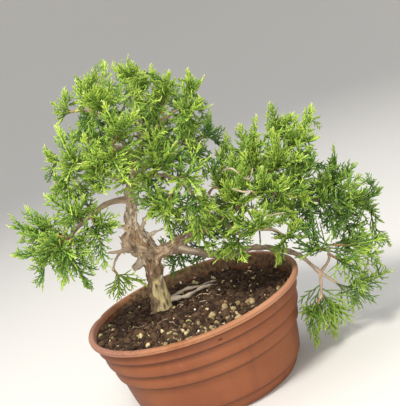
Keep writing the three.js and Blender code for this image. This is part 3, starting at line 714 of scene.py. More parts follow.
class Thicket:
    """Thick lines, each with the spray and the stem that it belongs to. Wood has spray -1."""

    ROOM = 60000

    def __init__(self):
        self.count = 0
        self.ends = np.empty((self.ROOM, 2, 3))
        self.radius = np.empty(self.ROOM)
        self.spray = np.empty(self.ROOM, int)
        self.stem = np.empty(self.ROOM, int)

    def add(self, a, b, radius, spray=-1, stem=-1):
        n = self.count
        self.ends[n] = a, b
        self.radius[n] = radius
        self.spray[n] = spray
        self.stem[n] = stem
        self.count += 1

    def add_route(self, points, radii, spray=-1, stem=-1):
        for i in range(len(points) - 1):
            self.add(points[i], points[i + 1], max(radii[i], radii[i + 1]), spray, stem)

    def lines(self, wanted=None):
        """The ends and radii of all lines, or of those that a mask picks."""
        every = slice(0, self.count) if wanted is None else wanted
        return self.ends[: self.count][every], self.radius[: self.count][every]

    def foliage(self):
        return self.lines(self.spray[: self.count] >= 0)

    def wood(self):
        return self.lines(self.spray[: self.count] < 0)

    def of_spray(self, spray, stem=None):
        mask = self.spray[: self.count] == spray
        return mask if stem is None else mask & (self.stem[: self.count] == stem)


def is_off(lines, a, b, radius, clearance):
    """True where the thick line from a to b comes no nearer than the clearance to any of the lines."""
    ends, radii = lines
    if not len(radii):
        return True
    reach = radius + radii + clearance
    low = ends.min(axis=1) - reach[:, None]
    high = ends.max(axis=1) + reach[:, None]
    near = (low <= np.maximum(a, b)).all(axis=1) & (high >= np.minimum(a, b)).all(axis=1)
    if not near.any():
        return True
    c = ends[near, 0]
    v = ends[near, 1] - c
    u = b - a
    w = a - c
    uu = u @ u
    vv = (v * v).sum(axis=1)
    uv = v @ u
    uw = w @ u
    vw = (v * w).sum(axis=1)
    parallel = uu * vv - uv * uv
    s = np.where(parallel > 1e-9, (uv * vw - vv * uw) / np.maximum(parallel, 1e-12), 0)
    s = np.clip(s, 0, 1)
    t = np.clip((uv * s + vw) / vv, 0, 1)
    s = np.clip((uv * t - uw) / uu, 0, 1)
    gap = w + u * s[:, None] - v * t[:, None]
    return bool((np.sqrt((gap * gap).sum(axis=1)) >= reach[near]).all())


def route_is_off(lines, points, radii, clearance):
    """True where a whole route is clear of the pot and keeps its distance from the lines."""
    for i in range(len(points) - 1):
        if not clear_of_pot(points[i]) or not clear_of_pot(points[i + 1]):
            return False
        if not is_off(lines, points[i], points[i + 1], max(radii[i], radii[i + 1]), clearance):
            return False
    return True


# The sprays, as the solids have them


def stations(curve, length, start):
    count = max(2, int(length / SHOOT_SPACING + 0.5))
    return [on_curve(curve, mix(start, 1, i / count)) for i in range(count + 1)]


def taper(points, thick, thin):
    return [mix(thick, thin, i / len(points)) for i in range(len(points))]


def skeleton(bough, spray, bend):
    """The bare twig of a spray, its main stem and the side stem that forks from it."""
    share, *tips = spray
    root = way_along([place(p) for p in bough["route"]], share)
    tips = [place(tip) for tip in tips]
    middle = (tips[0] + tips[1]) / 2
    fork = mix(root, middle, FORK_SHARE) + bend
    fork[2] -= FORK_SAG * (middle[2] - root[2])
    knee = (root + fork) / 2
    knee[2] -= KNEE_SAG * (fork[2] - root[2])
    to_fork = (root, knee, fork)
    heading = unit(fork - knee)
    arms = []
    for tip in tips:
        reach = math.dist(tip, fork)
        hand = mix(fork + heading * (ARM_REACH * reach), tip, ARM_PULL)
        hand[2] -= ARM_SAG * (tip[2] - fork[2])
        arms.append(stations((fork, hand, tip), reach, 0))
    length = math.dist(root, fork)
    seat = TWIG_SHARE + SEAT_GAP / length
    stem = stations(to_fork, (1 - seat) * length, seat)
    arm_radii = [taper(points, FORK_RADIUS, TIP_RADIUS) for points in arms]
    return {
        "twig": ([root, on_curve(to_fork, TWIG_SHARE)], TWIG_RADIUS),
        "twig_curve": to_fork,
        "stems": [
            (stem + arms[0][1:], taper(stem[1:], STEM_RADIUS, FORK_RADIUS) + arm_radii[0]),
            (arms[1], arm_radii[1]),
        ],
    }


def clear_skeleton(bough, spray, thicket):
    """The skeleton of a spray, bent as little as keeps it clear of what has grown before."""
    everything = thicket.lines()
    foliage = thicket.foliage()
    for bend in BENDS:
        made = skeleton(bough, spray, np.array(bend, float))
        if not route_is_off(foliage, *made["twig"], CLEARANCE):
            continue
        if all(route_is_off(everything, *stem, 2 * CLEARANCE) for stem in made["stems"]):
            return made
    raise ValueError("a spray crosses another limb however it bends")


def shoot(stem, gap, face, angle, turn, length, rise):
    """The seat and the tip of a shoot: it leaves a face of its stem and turns towards the light."""
    heading, across, side = stem["frames"][gap]
    theta = (face + 0.5) * 2 * math.pi / 3
    out = across * math.sin(theta) + side * math.cos(theta)
    lean = unit(out - side * (0 if face == TOP else SIDE_LIFT) + np.cross(heading, out) * turn)
    way = unit(heading * math.cos(angle) + lean * math.sin(angle) + LIGHT * rise)
    way = unit(way + out * max(0, LEAST_LEAN - way @ out))
    seat = mix(stem["points"][gap], stem["points"][gap + 1], 0.5) + out * (0.5 * stem["radii"][gap])
    return seat, seat + way * length


def grow_shoots(stem, rise, random, grows):
    """Shoots by turns on the left and on the other two faces, each tried until it grows or is given up."""
    gaps = len(stem["points"]) - 1
    for gap in range(1, gaps - 1):
        for face in (LEFT,) if gap % 2 else (RIGHT, TOP):
            s = (gap + 0.5) / gaps
            angle = mix(*SHOOT_ANGLE, s) + ANGLE_SPREAD * (random() - 0.5)
            turn = TURN_SPREAD * (random() - 0.5)
            length = mix(*SHOOT_LENGTH, s**0.8) * mix(*LENGTH_SPREAD, random())
            for share, extra in SHOOT_TRIES:
                if grows(gap, *shoot(stem, gap, face, angle, turn + extra, share * length, rise)):
                    break


def plan_sprays(thicket):
    """All sprays, each with its stems and the shoots on them."""
    made = []
    for bough_name, bough in BOUGHS.items():
        for i, spray in enumerate(bough["sprays"]):
            plan = clear_skeleton(bough, spray, thicket)
            plan["name"] = f"{bough_name}_spray_{i + 1}"
            plan["bough"] = bough_name
            plan["rise"] = bough["rise"]
            thicket.add_route(*plan["twig"])
            for n, (points, radii) in enumerate(plan["stems"]):
                thicket.add_route(points, radii, len(made), n)
            made.append(plan)
    for number, plan in enumerate(made):
        random = dice(number + 1)
        stems = []
        for n, (points, radii) in enumerate(plan["stems"]):
            lean = unit(np.array((random() - 0.5, random() - 0.5, 1)))
            start = unit(np.cross(lean, points[1] - points[0]))
            stem = {"points": points, "radii": radii, "frames": frame_along(points, start), "shoots": []}

            def grows(gap, seat, tip):
                outer = mix(seat, tip, ROOT_SHARE)
                tip_radius = SHOOT_RADIUS
                others = thicket.lines(~thicket.of_spray(number))
                if not route_is_off(others, (seat, tip), (tip_radius, tip_radius), CLEARANCE):
                    return False
                same_stem = thicket.lines(thicket.of_spray(number, n))
                if not route_is_off(same_stem, (outer, tip), (tip_radius, tip_radius), 0):
                    return False
                thicket.add(outer, tip, tip_radius, number, n)
                thicket.add(seat, tip, tip_radius, number)
                stem["shoots"].append((gap, seat, tip))
                return True

            grow_shoots(stem, plan["rise"], random, grows)
            stems.append(stem)
        plan["stems"] = stems
    return made


# Pieces


def deselect():
    if bpy.context.object and bpy.context.object.mode == "EDIT":
        bpy.ops.object.mode_set(mode="OBJECT")
    bpy.ops.object.select_all(action="DESELECT")


def activate(piece):
    deselect()
    piece.select_set(True)
    bpy.context.view_layer.objects.active = piece


def apply_modifier(piece, kind, **settings):
    activate(piece)
    modifier = piece.modifiers.new(kind.title(), kind)
    for name, value in settings.items():
        setattr(modifier, name, value)
    bpy.ops.object.modifier_apply(modifier=modifier.name)


def points_of(mesh):
    places = np.empty(len(mesh.vertices) * 3, np.float32)
    mesh.vertices.foreach_get("co", places)
    return places.reshape(-1, 3).astype(float)


def normals_of(mesh):
    normals = np.empty(len(mesh.vertices) * 3, np.float32)
    mesh.vertices.foreach_get("normal", normals)
    return normals.reshape(-1, 3).astype(float)


def put_points(mesh, places):
    mesh.vertices.foreach_set("co", places.astype(np.float32).ravel())
    mesh.update()


def set_attribute(mesh, name, values):
    attribute = mesh.attributes.new(name, "FLOAT", "POINT")
    attribute.data.foreach_set("value", np.asarray(values, np.float32))


def new_piece(name, places, faces):
    """A piece from places in millimetres and faces."""
    mesh = bpy.data.meshes.new(name)
    mesh.from_pydata(np.asarray(places) * MM, [], faces)
    piece = bpy.data.objects.new(name, mesh)
    bpy.context.scene.collection.objects.link(piece)
    return piece


def ring_faces(rings, sides, first=0):
    """Faces between rings of places that follow one another, from the place with the first number on."""
    faces = []
    for ring in range(rings - 1):
        low = first + ring * sides
        high = low + sides
        for i in range(sides):
            j = (i + 1) % sides
            faces.append((low + i, high + i, high + j, low + j))
    return faces


def smooth(piece, angle=None):
    activate(piece)
    if angle is None:
        bpy.ops.object.shade_smooth()
    else:
        bpy.ops.object.shade_smooth_by_angle(angle=math.radians(angle))


def place_piece(piece, material, slot, *nodes):
    piece.data.materials.clear()
    piece.data.materials.append(material)
    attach(piece, "root")
    if nodes:
        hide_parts(*nodes)


# Shader maths


class Value:
    """A number, colour or vector of a finish that Python's operators work on."""

    def __init__(self, finish, socket):
        self.finish = finish
        self.socket = socket

    def _maths(self, operation, *numbers):
        return self.finish.node("ShaderNodeMath", {"operation": operation}, *numbers)

    def __add__(self, other):
        return self._maths("ADD", self, other)

    def __radd__(self, other):
        return self._maths("ADD", other, self)

    def __sub__(self, other):
        return self._maths("SUBTRACT", self, other)

    def __rsub__(self, other):
        return self._maths("SUBTRACT", other, self)

    def __mul__(self, other):
        return self._maths("MULTIPLY", self, other)

    def __rmul__(self, other):
        return self._maths("MULTIPLY", other, self)

    def __pow__(self, other):
        return self._maths("POWER", self, other)

    def __abs__(self):
        return self._maths("ABSOLUTE", self)

    def most(self, other):
        return self._maths("MAXIMUM", self, other)

    def ramp(self, low, high):
        """0 below low, 1 above high, smooth between them."""
        settings = {"interpolation_type": "SMOOTHSTEP"}
        return self.finish.node("ShaderNodeMapRange", settings, self, low, high, 0, 1)


class Finish:
    """A material with one shader. Values and nodes are added to it."""

    def __init__(self, name, **sockets):
        self.material = bpy.data.materials.new(name)
        self.material.use_nodes = True
        self.tree = self.material.node_tree
        self.shader = self.tree.nodes["Principled BSDF"]
        for name, value in sockets.items():
            self.shader.inputs[name.replace("_", " ")].default_value = value

    def node(self, kind, settings=None, *inputs, output=0):
        """A node of that type, with its settings, then the values or links of its sockets in order."""
        made = self.tree.nodes.new(kind)
        for name, value in (settings or {}).items():
            if name == "stops":
                self._set_stops(made.color_ramp, value)
            else:
                setattr(made, name, value)
        sockets = [s for s in made.inputs if s.enabled]
        for socket, value in zip(sockets, inputs):
            if isinstance(value, Value):
                self.tree.links.new(value.socket, socket)
            elif value is not None:
                socket.default_value = value
        return Value(self, [s for s in made.outputs if s.enabled][output])

    def _set_stops(self, ramp, stops):
        while len(ramp.elements) < len(stops):
            ramp.elements.new(1)
        for element, (position, colour) in zip(ramp.elements, stops):
            element.position = position
            element.color = (*colour[:3], 1)

    def place(self):
        return self.node("ShaderNodeTexCoord", None, output=OBJECT_PLACE)

    def attribute(self, name):
        return self.node("ShaderNodeAttribute", {"attribute_name": name}, output=ATTRIBUTE_NUMBER)

    def vector(self, x, y, z):
        return self.node("ShaderNodeCombineXYZ", None, x, y, z)

    def parts(self, vector):
        split = self.node("ShaderNodeSeparateXYZ", None, vector)
        outputs = split.socket.node.outputs
        return [Value(self, outputs[i]) for i in range(3)]

    def noise(self, vector, scale, detail=2, roughness=0.5):
        return self.node("ShaderNodeTexNoise", None, vector, scale, detail, roughness)

    def blend(self, a, b, factor):
        """From colour a to colour b."""
        return self.node("ShaderNodeMix", {"data_type": "RGBA"}, factor, a, b)

    def takes(self, socket, value):
        self.tree.links.new(value.socket, self.shader.inputs[socket])

    def takes_bump(self, height, strength, distance):
        bump = self.node("ShaderNodeBump", None, strength, distance, 1, height)
        self.tree.links.new(bump.socket, self.shader.inputs["Normal"])


def colour(code):
    """A colour from its six-digit code, as the shader's linear numbers."""
    parts = [int(code[i : i + 2], 16) / 255 for i in (0, 2, 4)]
    return tuple(c / 12.92 if c <= 0.04045 else ((c + 0.055) / 1.055) ** 2.4 for c in parts) + (1,)


# Camera, floor and light


def aim_camera():
    back = Vector((0, -math.cos(CAMERA_ELEVATION), math.sin(CAMERA_ELEVATION)))
    right = Vector((1, 0, 0))
    up = back.cross(right)
    across = right * math.cos(CAMERA_ROLL) + up * math.sin(CAMERA_ROLL)
    above = up * math.cos(CAMERA_ROLL) - right * math.sin(CAMERA_ROLL)
    camera = bpy.data.cameras.new("camera")
    camera.sensor_width = SENSOR
    focal_pixels = IMAGE_SIZE[0] / 2 / math.tan(FIELD_OF_VIEW / 2)
    camera.lens = focal_pixels * SENSOR / max(IMAGE_SIZE)
    stand = bpy.data.objects.new("camera", camera)
    stand.matrix_world = Matrix((across, above, back)).transposed().to_4x4()
    stand.location = CAMERA_TARGET + back * CAMERA_DISTANCE
    bpy.context.scene.collection.objects.link(stand)
    bpy.context.scene.camera = stand


def hang_light(name, location, size, power, tint):
    light = bpy.data.lights.new(name, "AREA")
    light.size = size
    light.energy = power
    light.color = tint
    holder = bpy.data.objects.new(name, light)
    holder.location = location
    holder.rotation_mode = "QUATERNION"
    holder.rotation_quaternion = (Vector(location) - CAMERA_TARGET).to_track_quat("Z", "Y")
    bpy.context.scene.collection.objects.link(holder)


def light_studio():
    for light in LIGHTS:
        hang_light(*light)
    world = bpy.data.worlds.new("studio")
    world.use_nodes = True
    background = world.node_tree.nodes["Background"]
    background.inputs["Color"].default_value = SKY
    background.inputs["Strength"].default_value = SKY_STRENGTH
    bpy.context.scene.world = world
    bpy.context.scene.view_settings.view_transform = "Standard"


def lay_floor():
    """A pale floor that curves up into a wall all round, so no edge shows behind the object."""
    flat = [(FLOOR_REACH * i / FLOOR_RINGS, 0) for i in range(FLOOR_RINGS + 1)]
    bend = [math.pi / 2 * i / FLOOR_BEND_RINGS for i in range(1, FLOOR_BEND_RINGS + 1)]
    outline = flat + [(FLOOR_REACH + FLOOR_BEND * math.sin(a), FLOOR_BEND * (1 - math.cos(a))) for a in bend]
    turns = [2 * math.pi * i / FLOOR_SIDES for i in range(FLOOR_SIDES)]
    places = [(r * math.cos(t) / MM, r * math.sin(t) / MM, z / MM) for r, z in outline for t in turns]
    floor = new_piece("floor", places, ring_faces(len(outline), FLOOR_SIDES))
    smooth(floor)
    finish = Finish("pale floor", Roughness=0.9)
    cloud = finish.noise(finish.place(), 1.5)
    finish.takes("Base Color", finish.blend(colour("d3d1cd"), colour("d8d6d2"), cloud))
    floor.data.materials.append(finish.material)


# Pot


def pot_profile():
    """The pot's outline from the middle of its underside, up the outside and down the inside."""
    outline = [
        (0, 0),
        (HUB_RADIUS - 0.8, 0),
        (HUB_RADIUS, 0.8),
        (HUB_RADIUS, FOOT_RECESS),
        (DRAIN_CIRCLE, FOOT_RECESS),
        (FOOT_RADIUS - FOOT_RING - 1, FOOT_RECESS),
        (FOOT_RADIUS - FOOT_RING, 0),
        (FOOT_RADIUS - 0.8, 0),
        (FOOT_RADIUS + 1.6, 0.8),
        (74, 3),
        (75.4, 6),
        (76, 8.8),
        (75.6, 9.8),
        (75.6, 10.8),
    ]
    for low, swell, high, bottom, top in BANDS:
        bulge = mix(bottom, top, 0.4)
        curve = [np.array(p) for p in ((low, bottom + 0.3), (swell, bulge), (high, top - 0.4))]
        outline.append((low - 1.5, bottom - 0.6))
        outline.append((low - 0.5, bottom - 0.3))
        outline += [tuple(on_curve(curve, i / BAND_STEPS)) for i in range(BAND_STEPS + 1)]
    rim_foot = POT_HEIGHT - RIM_DEPTH
    outline += [
        (RIM_RADIUS - 4, rim_foot - 0.4),
        (RIM_RADIUS - 1.2, rim_foot),
        (RIM_RADIUS - 0.4, rim_foot + 0.7),
        (RIM_RADIUS - 0.2, rim_foot + 2.1),
        (RIM_RADIUS - 0.5, rim_foot + 2.4),
        (RIM_RADIUS, rim_foot + 2.8),
        (RIM_RADIUS, POT_HEIGHT - 1.3),
        (RIM_RADIUS - 0.5, POT_HEIGHT - 0.4),
        (RIM_RADIUS - 1.6, POT_HEIGHT),
        (RIM_RADIUS - RIM_WIDTH + 1, POT_HEIGHT),
        (RIM_RADIUS - RIM_WIDTH, POT_HEIGHT - 0.6),
        (RIM_RADIUS - RIM_WIDTH - 0.8, POT_HEIGHT - 2.4),
        INNER_WALL[0],
    ]
    inner = [np.array(p) for p in (*INNER_WALL, (FLOOR_RADIUS, FLOOR_TOP))]
    outline += [tuple(on_curve(inner, i / 8)) for i in range(1, 9)]
    outline.append((0, FLOOR_TOP))
    return outline


def spin_pot():
    """The outline is spun round the pot's axis."""
    outline = pot_profile()
    edges = [(i, i + 1) for i in range(len(outline) - 1)]
    mesh = bpy.data.meshes.new("pot_shell")
    mesh.from_pydata([(r * MM, 0, z * MM) for r, z in outline], edges, [])
    shell = bpy.data.objects.new("pot_shell", mesh)
    bpy.context.scene.collection.objects.link(shell)
    activate(shell)
    bpy.ops.object.mode_set(mode="EDIT")
    bpy.ops.mesh.select_all(action="SELECT")
    bpy.ops.mesh.spin(steps=POT_SIDES, angle=2 * math.pi, center=(0, 0, 0), axis=(0, 0, 1))
    bpy.ops.mesh.select_all(action="SELECT")
    bpy.ops.mesh.remove_doubles(threshold=0.02 * MM)
    bpy.ops.mesh.normals_make_consistent(inside=False)
    bpy.ops.object.mode_set(mode="OBJECT")
    return shell


def drain_cutter():
    """Six drain pins in one cutter, with the slot of the small hole below the rim."""
    pins = []
    for i in range(DRAINS):
        turn = 2 * math.pi * i / DRAINS
        deselect()
        bpy.ops.mesh.primitive_cylinder_add(
            vertices=DRAIN_SIDES,
            radius=DRAIN_RADIUS * MM,
            depth=4 * FLOOR_TOP * MM,
            location=(DRAIN_CIRCLE * MM * math.cos(turn), DRAIN_CIRCLE * MM * math.sin(turn), 0),
        )
        pins.append(bpy.context.object)
    turn, reach, height = RIM_SLOT
    turn = math.radians(turn)
    deselect()
    bpy.ops.mesh.primitive_cube_add(
        size=MM,
        location=(reach * MM * math.cos(turn), reach * MM * math.sin(turn), height * MM),
        rotation=(0, 0, turn),
        scale=RIM_SLOT_SIZE,
    )
    pins.append(bpy.context.object)
    deselect()
    for pin in pins:
        pin.select_set(True)
    bpy.context.view_layer.objects.active = pins[0]
    bpy.ops.object.join()
    return bpy.context.object


def warp_pot(shell):
    """A thin moulded rim is never quite round or level, and it was knocked in two places."""
    places = points_of(shell.data) / MM
    x, y, z = places.T
    turn = np.arctan2(y, x)
    high = smooth_step(WARP_HEIGHT, POT_HEIGHT, z)
    wave = sum(size * np.sin(count * turn + shift) for size, count, shift in WARP_WAVES)
    nick = np.exp(-(((turn - NICK_TURN) / NICK_WIDTH) ** 2)) * smooth_step(POT_HEIGHT - 3, POT_HEIGHT, z)
    kink = np.exp(-(((turn - KINK_TURN) / KINK_WIDTH) ** 2)) * smooth_step(POT_HEIGHT - 8, POT_HEIGHT, z)
    reach = np.hypot(x, y)
    radius = reach + high * (wave - RIM_SHRINK) - DENT_DEPTH * nick - DENT_DEPTH * kink
    factor = np.where(high > 0, radius / np.maximum(reach, 1e-6), 1)
    places[:, :2] *= factor[:, None]
    places[:, 2] -= high * (0.25 + 0.25 * np.sin(3 * turn + 0.7)) + DENT_DEPTH * nick + 0.5 * kink
    put_points(shell.data, places * MM)


def terracotta():
    """Matt moulded plastic: rubbed pale on the rim, painted highlight on its right, painted shadow under
    each step, dusty inside.
    """
    finish = Finish("terracotta plastic", Roughness=0.55, Specular_IOR_Level=0.4)
    spot = finish.place()
    x, y, z = finish.parts(spot)
    cloud = finish.noise(spot, 14, 4, 0.6)
    fine = finish.noise(spot, 260, 3, 0.6)
    streak = finish.noise(finish.vector(x, y, z * 0.12), 70, 3)
    radius = (x * x + y * y) ** 0.5
    body = finish.blend(colour("7b4225"), colour("8c512f"), cloud.ramp(0.3, 0.7))
    body = finish.blend(body, colour("693521"), streak.ramp(0.52, 0.8) * 0.45)
    # painted shadow: darker for a few millimetres just below each band's step and below the rim
    step_shadow = 0
    for step in [bottom for _, _, _, bottom, _ in BANDS] + [POT_HEIGHT - RIM_DEPTH]:
        below = (step + 0.2) * MM - z
        step_shadow = (below.ramp(-0.3 * MM, 0.2 * MM) * (1 - below.ramp(0.4 * MM, 4.8 * MM))).most(step_shadow)
    outside = radius.ramp(72 * MM, 76 * MM)
    body = finish.blend(body, colour("361b11"), step_shadow * outside * (0.5 + 0.3 * cloud))
    rim = z.ramp((POT_HEIGHT - 5.6) * MM, (POT_HEIGHT - 4.4) * MM)
    worn = (fine * 0.5 + cloud * 0.7 + rim * 0.12).ramp(0.5, 0.8)
    body = finish.blend(body, colour("8c542d"), rim * 0.75)
    body = finish.blend(body, colour("a87653"), rim * worn * 0.8)
    body = finish.blend(body, colour("a0756a"), rim * (-1 * x - y * 0.3).ramp(52 * MM, 104 * MM) * 0.55)
    # painted highlight: the right side of the rim is made paler
    body = finish.blend(body, colour("c08a6c"), rim * (x - y * 0.25).ramp(50 * MM, 84 * MM) * 0.7)
    split = abs(x * math.sin(CRACK_TURN) - y * math.cos(CRACK_TURN) + (fine - 0.5) * 0.6 * MM)
    crack = (1 - split.ramp(0.08 * MM, 0.3 * MM)) * rim * x.ramp(0, 1 * MM)
    body = finish.blend(body, colour("3a2015"), crack * 0.8)
    inner = (1 - (radius - z * 0.14).ramp(82.4 * MM, 84.6 * MM)) * z.ramp(70 * MM, 74 * MM)
    dirt = finish.noise(spot, 55, 5, 0.7)
    earth = finish.blend(colour("4a3524"), colour("84694a"), fine.ramp(0.3, 0.7))
    body = finish.blend(body, earth, inner * (dirt + y * 2.2 + x * 1.4).ramp(0.42, 0.6))
    speck = finish.noise(spot, 420, 2, 0.5)
    body = finish.blend(body, colour("b98a70"), speck.ramp(0.7, 0.78) * 0.35)
    finish.takes("Base Color", body)
    finish.takes("Roughness", 0.48 + 0.22 * cloud + inner * 0.3)
    finish.takes_bump(fine * 0.6 + streak * 0.5 + inner * dirt * 6, 0.35, 0.25 * MM)
    return finish.material


def make_pot():
    shell = spin_pot()
    pins = drain_cutter()
    apply_modifier(shell, "BOOLEAN", object=pins, operation="DIFFERENCE", solver="EXACT")
    bpy.data.objects.remove(pins)
    warp_pot(shell)
    smooth(shell, POT_CREASE)
    place_piece(shell, terracotta(), "terracotta_plastic", "pot")


# Soil


def soil_top(x, y):
    return SOIL_LEVEL + SOIL_SLOPE[0] * x + SOIL_SLOPE[1] * y


def crumble(x, y):
    """How far the mix stands above its mean level."""
    rises = [high * noise.noise(Vector((x / wide, y / wide, layer))) for wide, layer, high in CRUMBLE]
    return sum(rises)


def wall_at(z):
    """The inside radius of the pot between its inner wall's top and its lip."""
    low, bottom = INNER_WALL[0]
    return mix(low, RIM_RADIUS - RIM_WIDTH - 1, (z - bottom) / (POT_HEIGHT - 2 - bottom))


def soil_body():
    """A round body that fills the pot, with a crumbly top."""
    places = [(0, 0, soil_top(0, 0) + crumble(0, 0))]
    for ring in range(1, SOIL_RINGS + 1):
        radius = SOIL_RADIUS * ring / SOIL_RINGS
        for i in range(SOIL_SIDES):
            turn = 2 * math.pi * i / SOIL_SIDES
            x = radius * math.cos(turn)
            y = radius * math.sin(turn)
            z = soil_top(x, y) + crumble(x, y)
            pull = min(1, (wall_at(z) - SEAT_GAP) / radius)
            places.append((x * pull, y * pull, z))
    wall = (*SOIL_WALL, (FLOOR_RADIUS - 1, FLOOR_TOP + SEAT_GAP))
    for radius, z in wall:
        for i in range(SOIL_SIDES):
            turn = 2 * math.pi * i / SOIL_SIDES
            places.append((radius * math.cos(turn), radius * math.sin(turn), z))
    faces = [(0, 1 + i, 1 + (i + 1) % SOIL_SIDES) for i in range(SOIL_SIDES)]
    faces += ring_faces(SOIL_RINGS + len(wall), SOIL_SIDES, 1)
    last = len(places) - SOIL_SIDES
    faces.append(tuple(last + i for i in range(SOIL_SIDES)))
    return new_piece("potting_mix", places, faces)


def model_grain(subdivisions):
    """An icosphere whose corners are knocked about."""
    deselect()
    bpy.ops.mesh.primitive_ico_sphere_add(subdivisions=subdivisions, radius=1)
    grain = bpy.context.object
    places = points_of(grain.data)
    for i, p in enumerate(places):
        places[i] *= 1 + GRAIN_ROUGHNESS * noise.noise(Vector(p * 1.1 + 3.1 * subdivisions))
    faces = [tuple(polygon.vertices) for polygon in grain.data.polygons]
    bpy.data.objects.remove(grain)
    return places, faces


def scatter_crumbs(wood_lines):
    """Crumbs and grit lie on the mix, each turned and squeezed in its own way."""
    random = dice(CRUMB_SEED)
    small = model_grain(1)
    large = model_grain(2)
    places = []
    faces = []
    tones = []
    shades = []
    for _ in range(CRUMBS):
        radius = (SOIL_RADIUS - CRUMB_MARGIN) * math.sqrt(random())
        turn = 2 * math.pi * random()
        pick = random()
        size = random()
        spin = [2 * math.pi * random() for _ in range(3)]
        squeeze = [mix(*CRUMB_SQUEEZE, random()) for _ in range(3)]
        shade = random()
        kind = 0
        while kind < len(CRUMB_KINDS) - 1 and pick > CRUMB_KINDS[kind][1]:
            pick -= CRUMB_KINDS[kind][1]
            kind += 1
        _, _, least, most, stand = CRUMB_KINDS[kind]
        size = mix(least, most, size**SMALL_ONES)
        if kind > 1 and shade < GRIT_DRIFT["share"]:
            turn = mix(*GRIT_DRIFT["turn"], turn / (2 * math.pi))
            radius = mix(*GRIT_DRIFT["radius"], radius / SOIL_RADIUS)
        x = radius * math.cos(turn)
        y = radius * math.sin(turn)
        centre = np.array((x, y, soil_top(x, y) + crumble(x, y) + stand * size * 0.5))
        if not is_off(wood_lines, centre, centre + 0.01, size * 0.5, 0):
            continue
        points, triangles = large if size > LARGE_CRUMB else small
        turned = Matrix.Identity(3)
        for axis, angle in zip("XYZ", spin):
            turned = turned @ Matrix.Rotation(angle, 3, axis)
        shaped = (points * squeeze) @ np.array(turned).T * size + centre
        first = len(tones)
        places.extend(shaped)
        faces.extend(tuple(first + v for v in triangle) for triangle in triangles)
        tones.extend([kind / (len(CRUMB_KINDS) - 1)] * len(points))
        shades.extend([shade] * len(points))
    piece = new_piece("crumbs_and_grit", places, faces)
    set_attribute(piece.data, "tone", tones)
    set_attribute(piece.data, "shade", shades)
    return piece


def earth_finish():
    finish = Finish("damp potting mix", Roughness=0.95, Specular_IOR_Level=0.25)
    spot = finish.place()
    clods = finish.noise(spot, 90, 5, 0.7)
    fibre = finish.noise(spot, 420, 4, 0.7)
    earth = finish.blend(colour("1a120c"), colour("50392a"), clods.ramp(0.35, 0.68))
    earth = finish.blend(earth, colour("8d6d4e"), fibre.ramp(0.6, 0.74) * 0.5)
    finish.takes("Base Color", earth)
    finish.takes_bump(clods + fibre * 0.4, 0.8, 0.9 * MM)
    return finish.material


def grit_finish():
    finish = Finish("crumbs and grit", Roughness=0.9, Specular_IOR_Level=0.3)
    spot = finish.place()
    tone = finish.attribute("tone")
    shade = finish.attribute("shade")
    stops = [
        (0, colour("604935")),
        (0.2, colour("704a35")),
        (0.45, colour("d8c193")),
        (0.7, colour("aaa46c")),
        (0.93, colour("ece5d4")),
    ]
    ramp = finish.node("ShaderNodeValToRGB", {"stops": stops}, tone)
    ramp.socket.node.color_ramp.interpolation = "CONSTANT"
    dust = finish.noise(spot, 500, 4, 0.7)
    body = finish.blend(ramp, colour("22170f"), (1 - shade) * 0.85 * (1 - tone.ramp(0.3, 0.5) * 0.8))
    body = finish.blend(body, colour("8a7350"), (1 - shade).ramp(0.2, 0.9) * tone.ramp(0.3, 0.5) * 0.75)
    body = finish.blend(body, colour("2b1c13"), dust.ramp(0.45, 0.75) * 0.7)
    finish.takes("Base Color", body)
    finish.takes_bump(dust, 0.6, 0.5 * MM)
    return finish.material


def lay_root_hairs(finish):
    """Thin pale roots wander over the mix round the trunk."""
    random = dice(HAIR_SEED)
    bundle = Bundle(*WOOD_LOOK)
    for number in range(ROOT_HAIRS):
        turn = between(random, *HAIR_TURN)
        reach = between(random, *HAIR_REACH)
        x = HAIR_CENTRE[0] + reach * math.cos(turn)
        y = HAIR_CENTRE[1] + reach * math.sin(turn)
        heading = between(random, 0, 2 * math.pi)
        steps = int(between(random, *HAIR_LENGTH) / HAIR_STEP)
        points = []
        for i in range(steps):
            lift = HAIR_LIFT * math.sin(math.pi * i / (steps - 1))
            points.append(np.array((x, y, soil_top(x, y) + crumble(x, y) + lift)))
            heading += between(random, *HAIR_SWAY)
            x += HAIR_STEP * math.cos(heading)
            y += HAIR_STEP * math.sin(heading)
        radii = np.linspace(between(random, *HAIR_RADIUS), HAIR_TIP, steps)
        places, faces = sweep(points, radii, HAIR_SIDES)
        look = {"around_x": 0, "around_y": number, "along": places[:, 0]}
        bundle.add(places, faces, **look, stripped=0.2, pale=0.2, dark=0)
    piece = bundle.piece("root_hairs")
    smooth(piece)
    place_piece(piece, finish, "bark")


def make_soil(wood_lines):
    body = soil_body()
    smooth(body)
    place_piece(body, earth_finish(), "potting_mix", "soil")
    crumbs = scatter_crumbs(wood_lines)
    smooth(crumbs, GRAIN_CREASE)
    place_piece(crumbs, grit_finish(), "potting_mix")


# Wood


def smooth_route(route):
    """A smooth route through the points of a rough one, with a radius at each."""
    rough = np.array(route, float)
    padded = np.vstack((2 * rough[0] - rough[1], rough, 2 * rough[-1] - rough[-2]))
    made = []
    for i in range(len(rough) - 1):
        a, b, c, d = padded[i : i + 4]
        count = max(2, int(math.dist(b[:3], c[:3]) / ROUTE_STEP))
        for k in range(count):
            t = k / count
            bend = (2 * a - 5 * b + 4 * c - d) * t**2 + (3 * b - a - 3 * c + d) * t**3
            p = 0.5 * (2 * b + (c - a) * t + bend)
            p[3] = mix(b[3], c[3], t)
            made.append(p)
    made.append(rough[-1])
    made = np.array(made)
    return made[:, :3], made[:, 3]


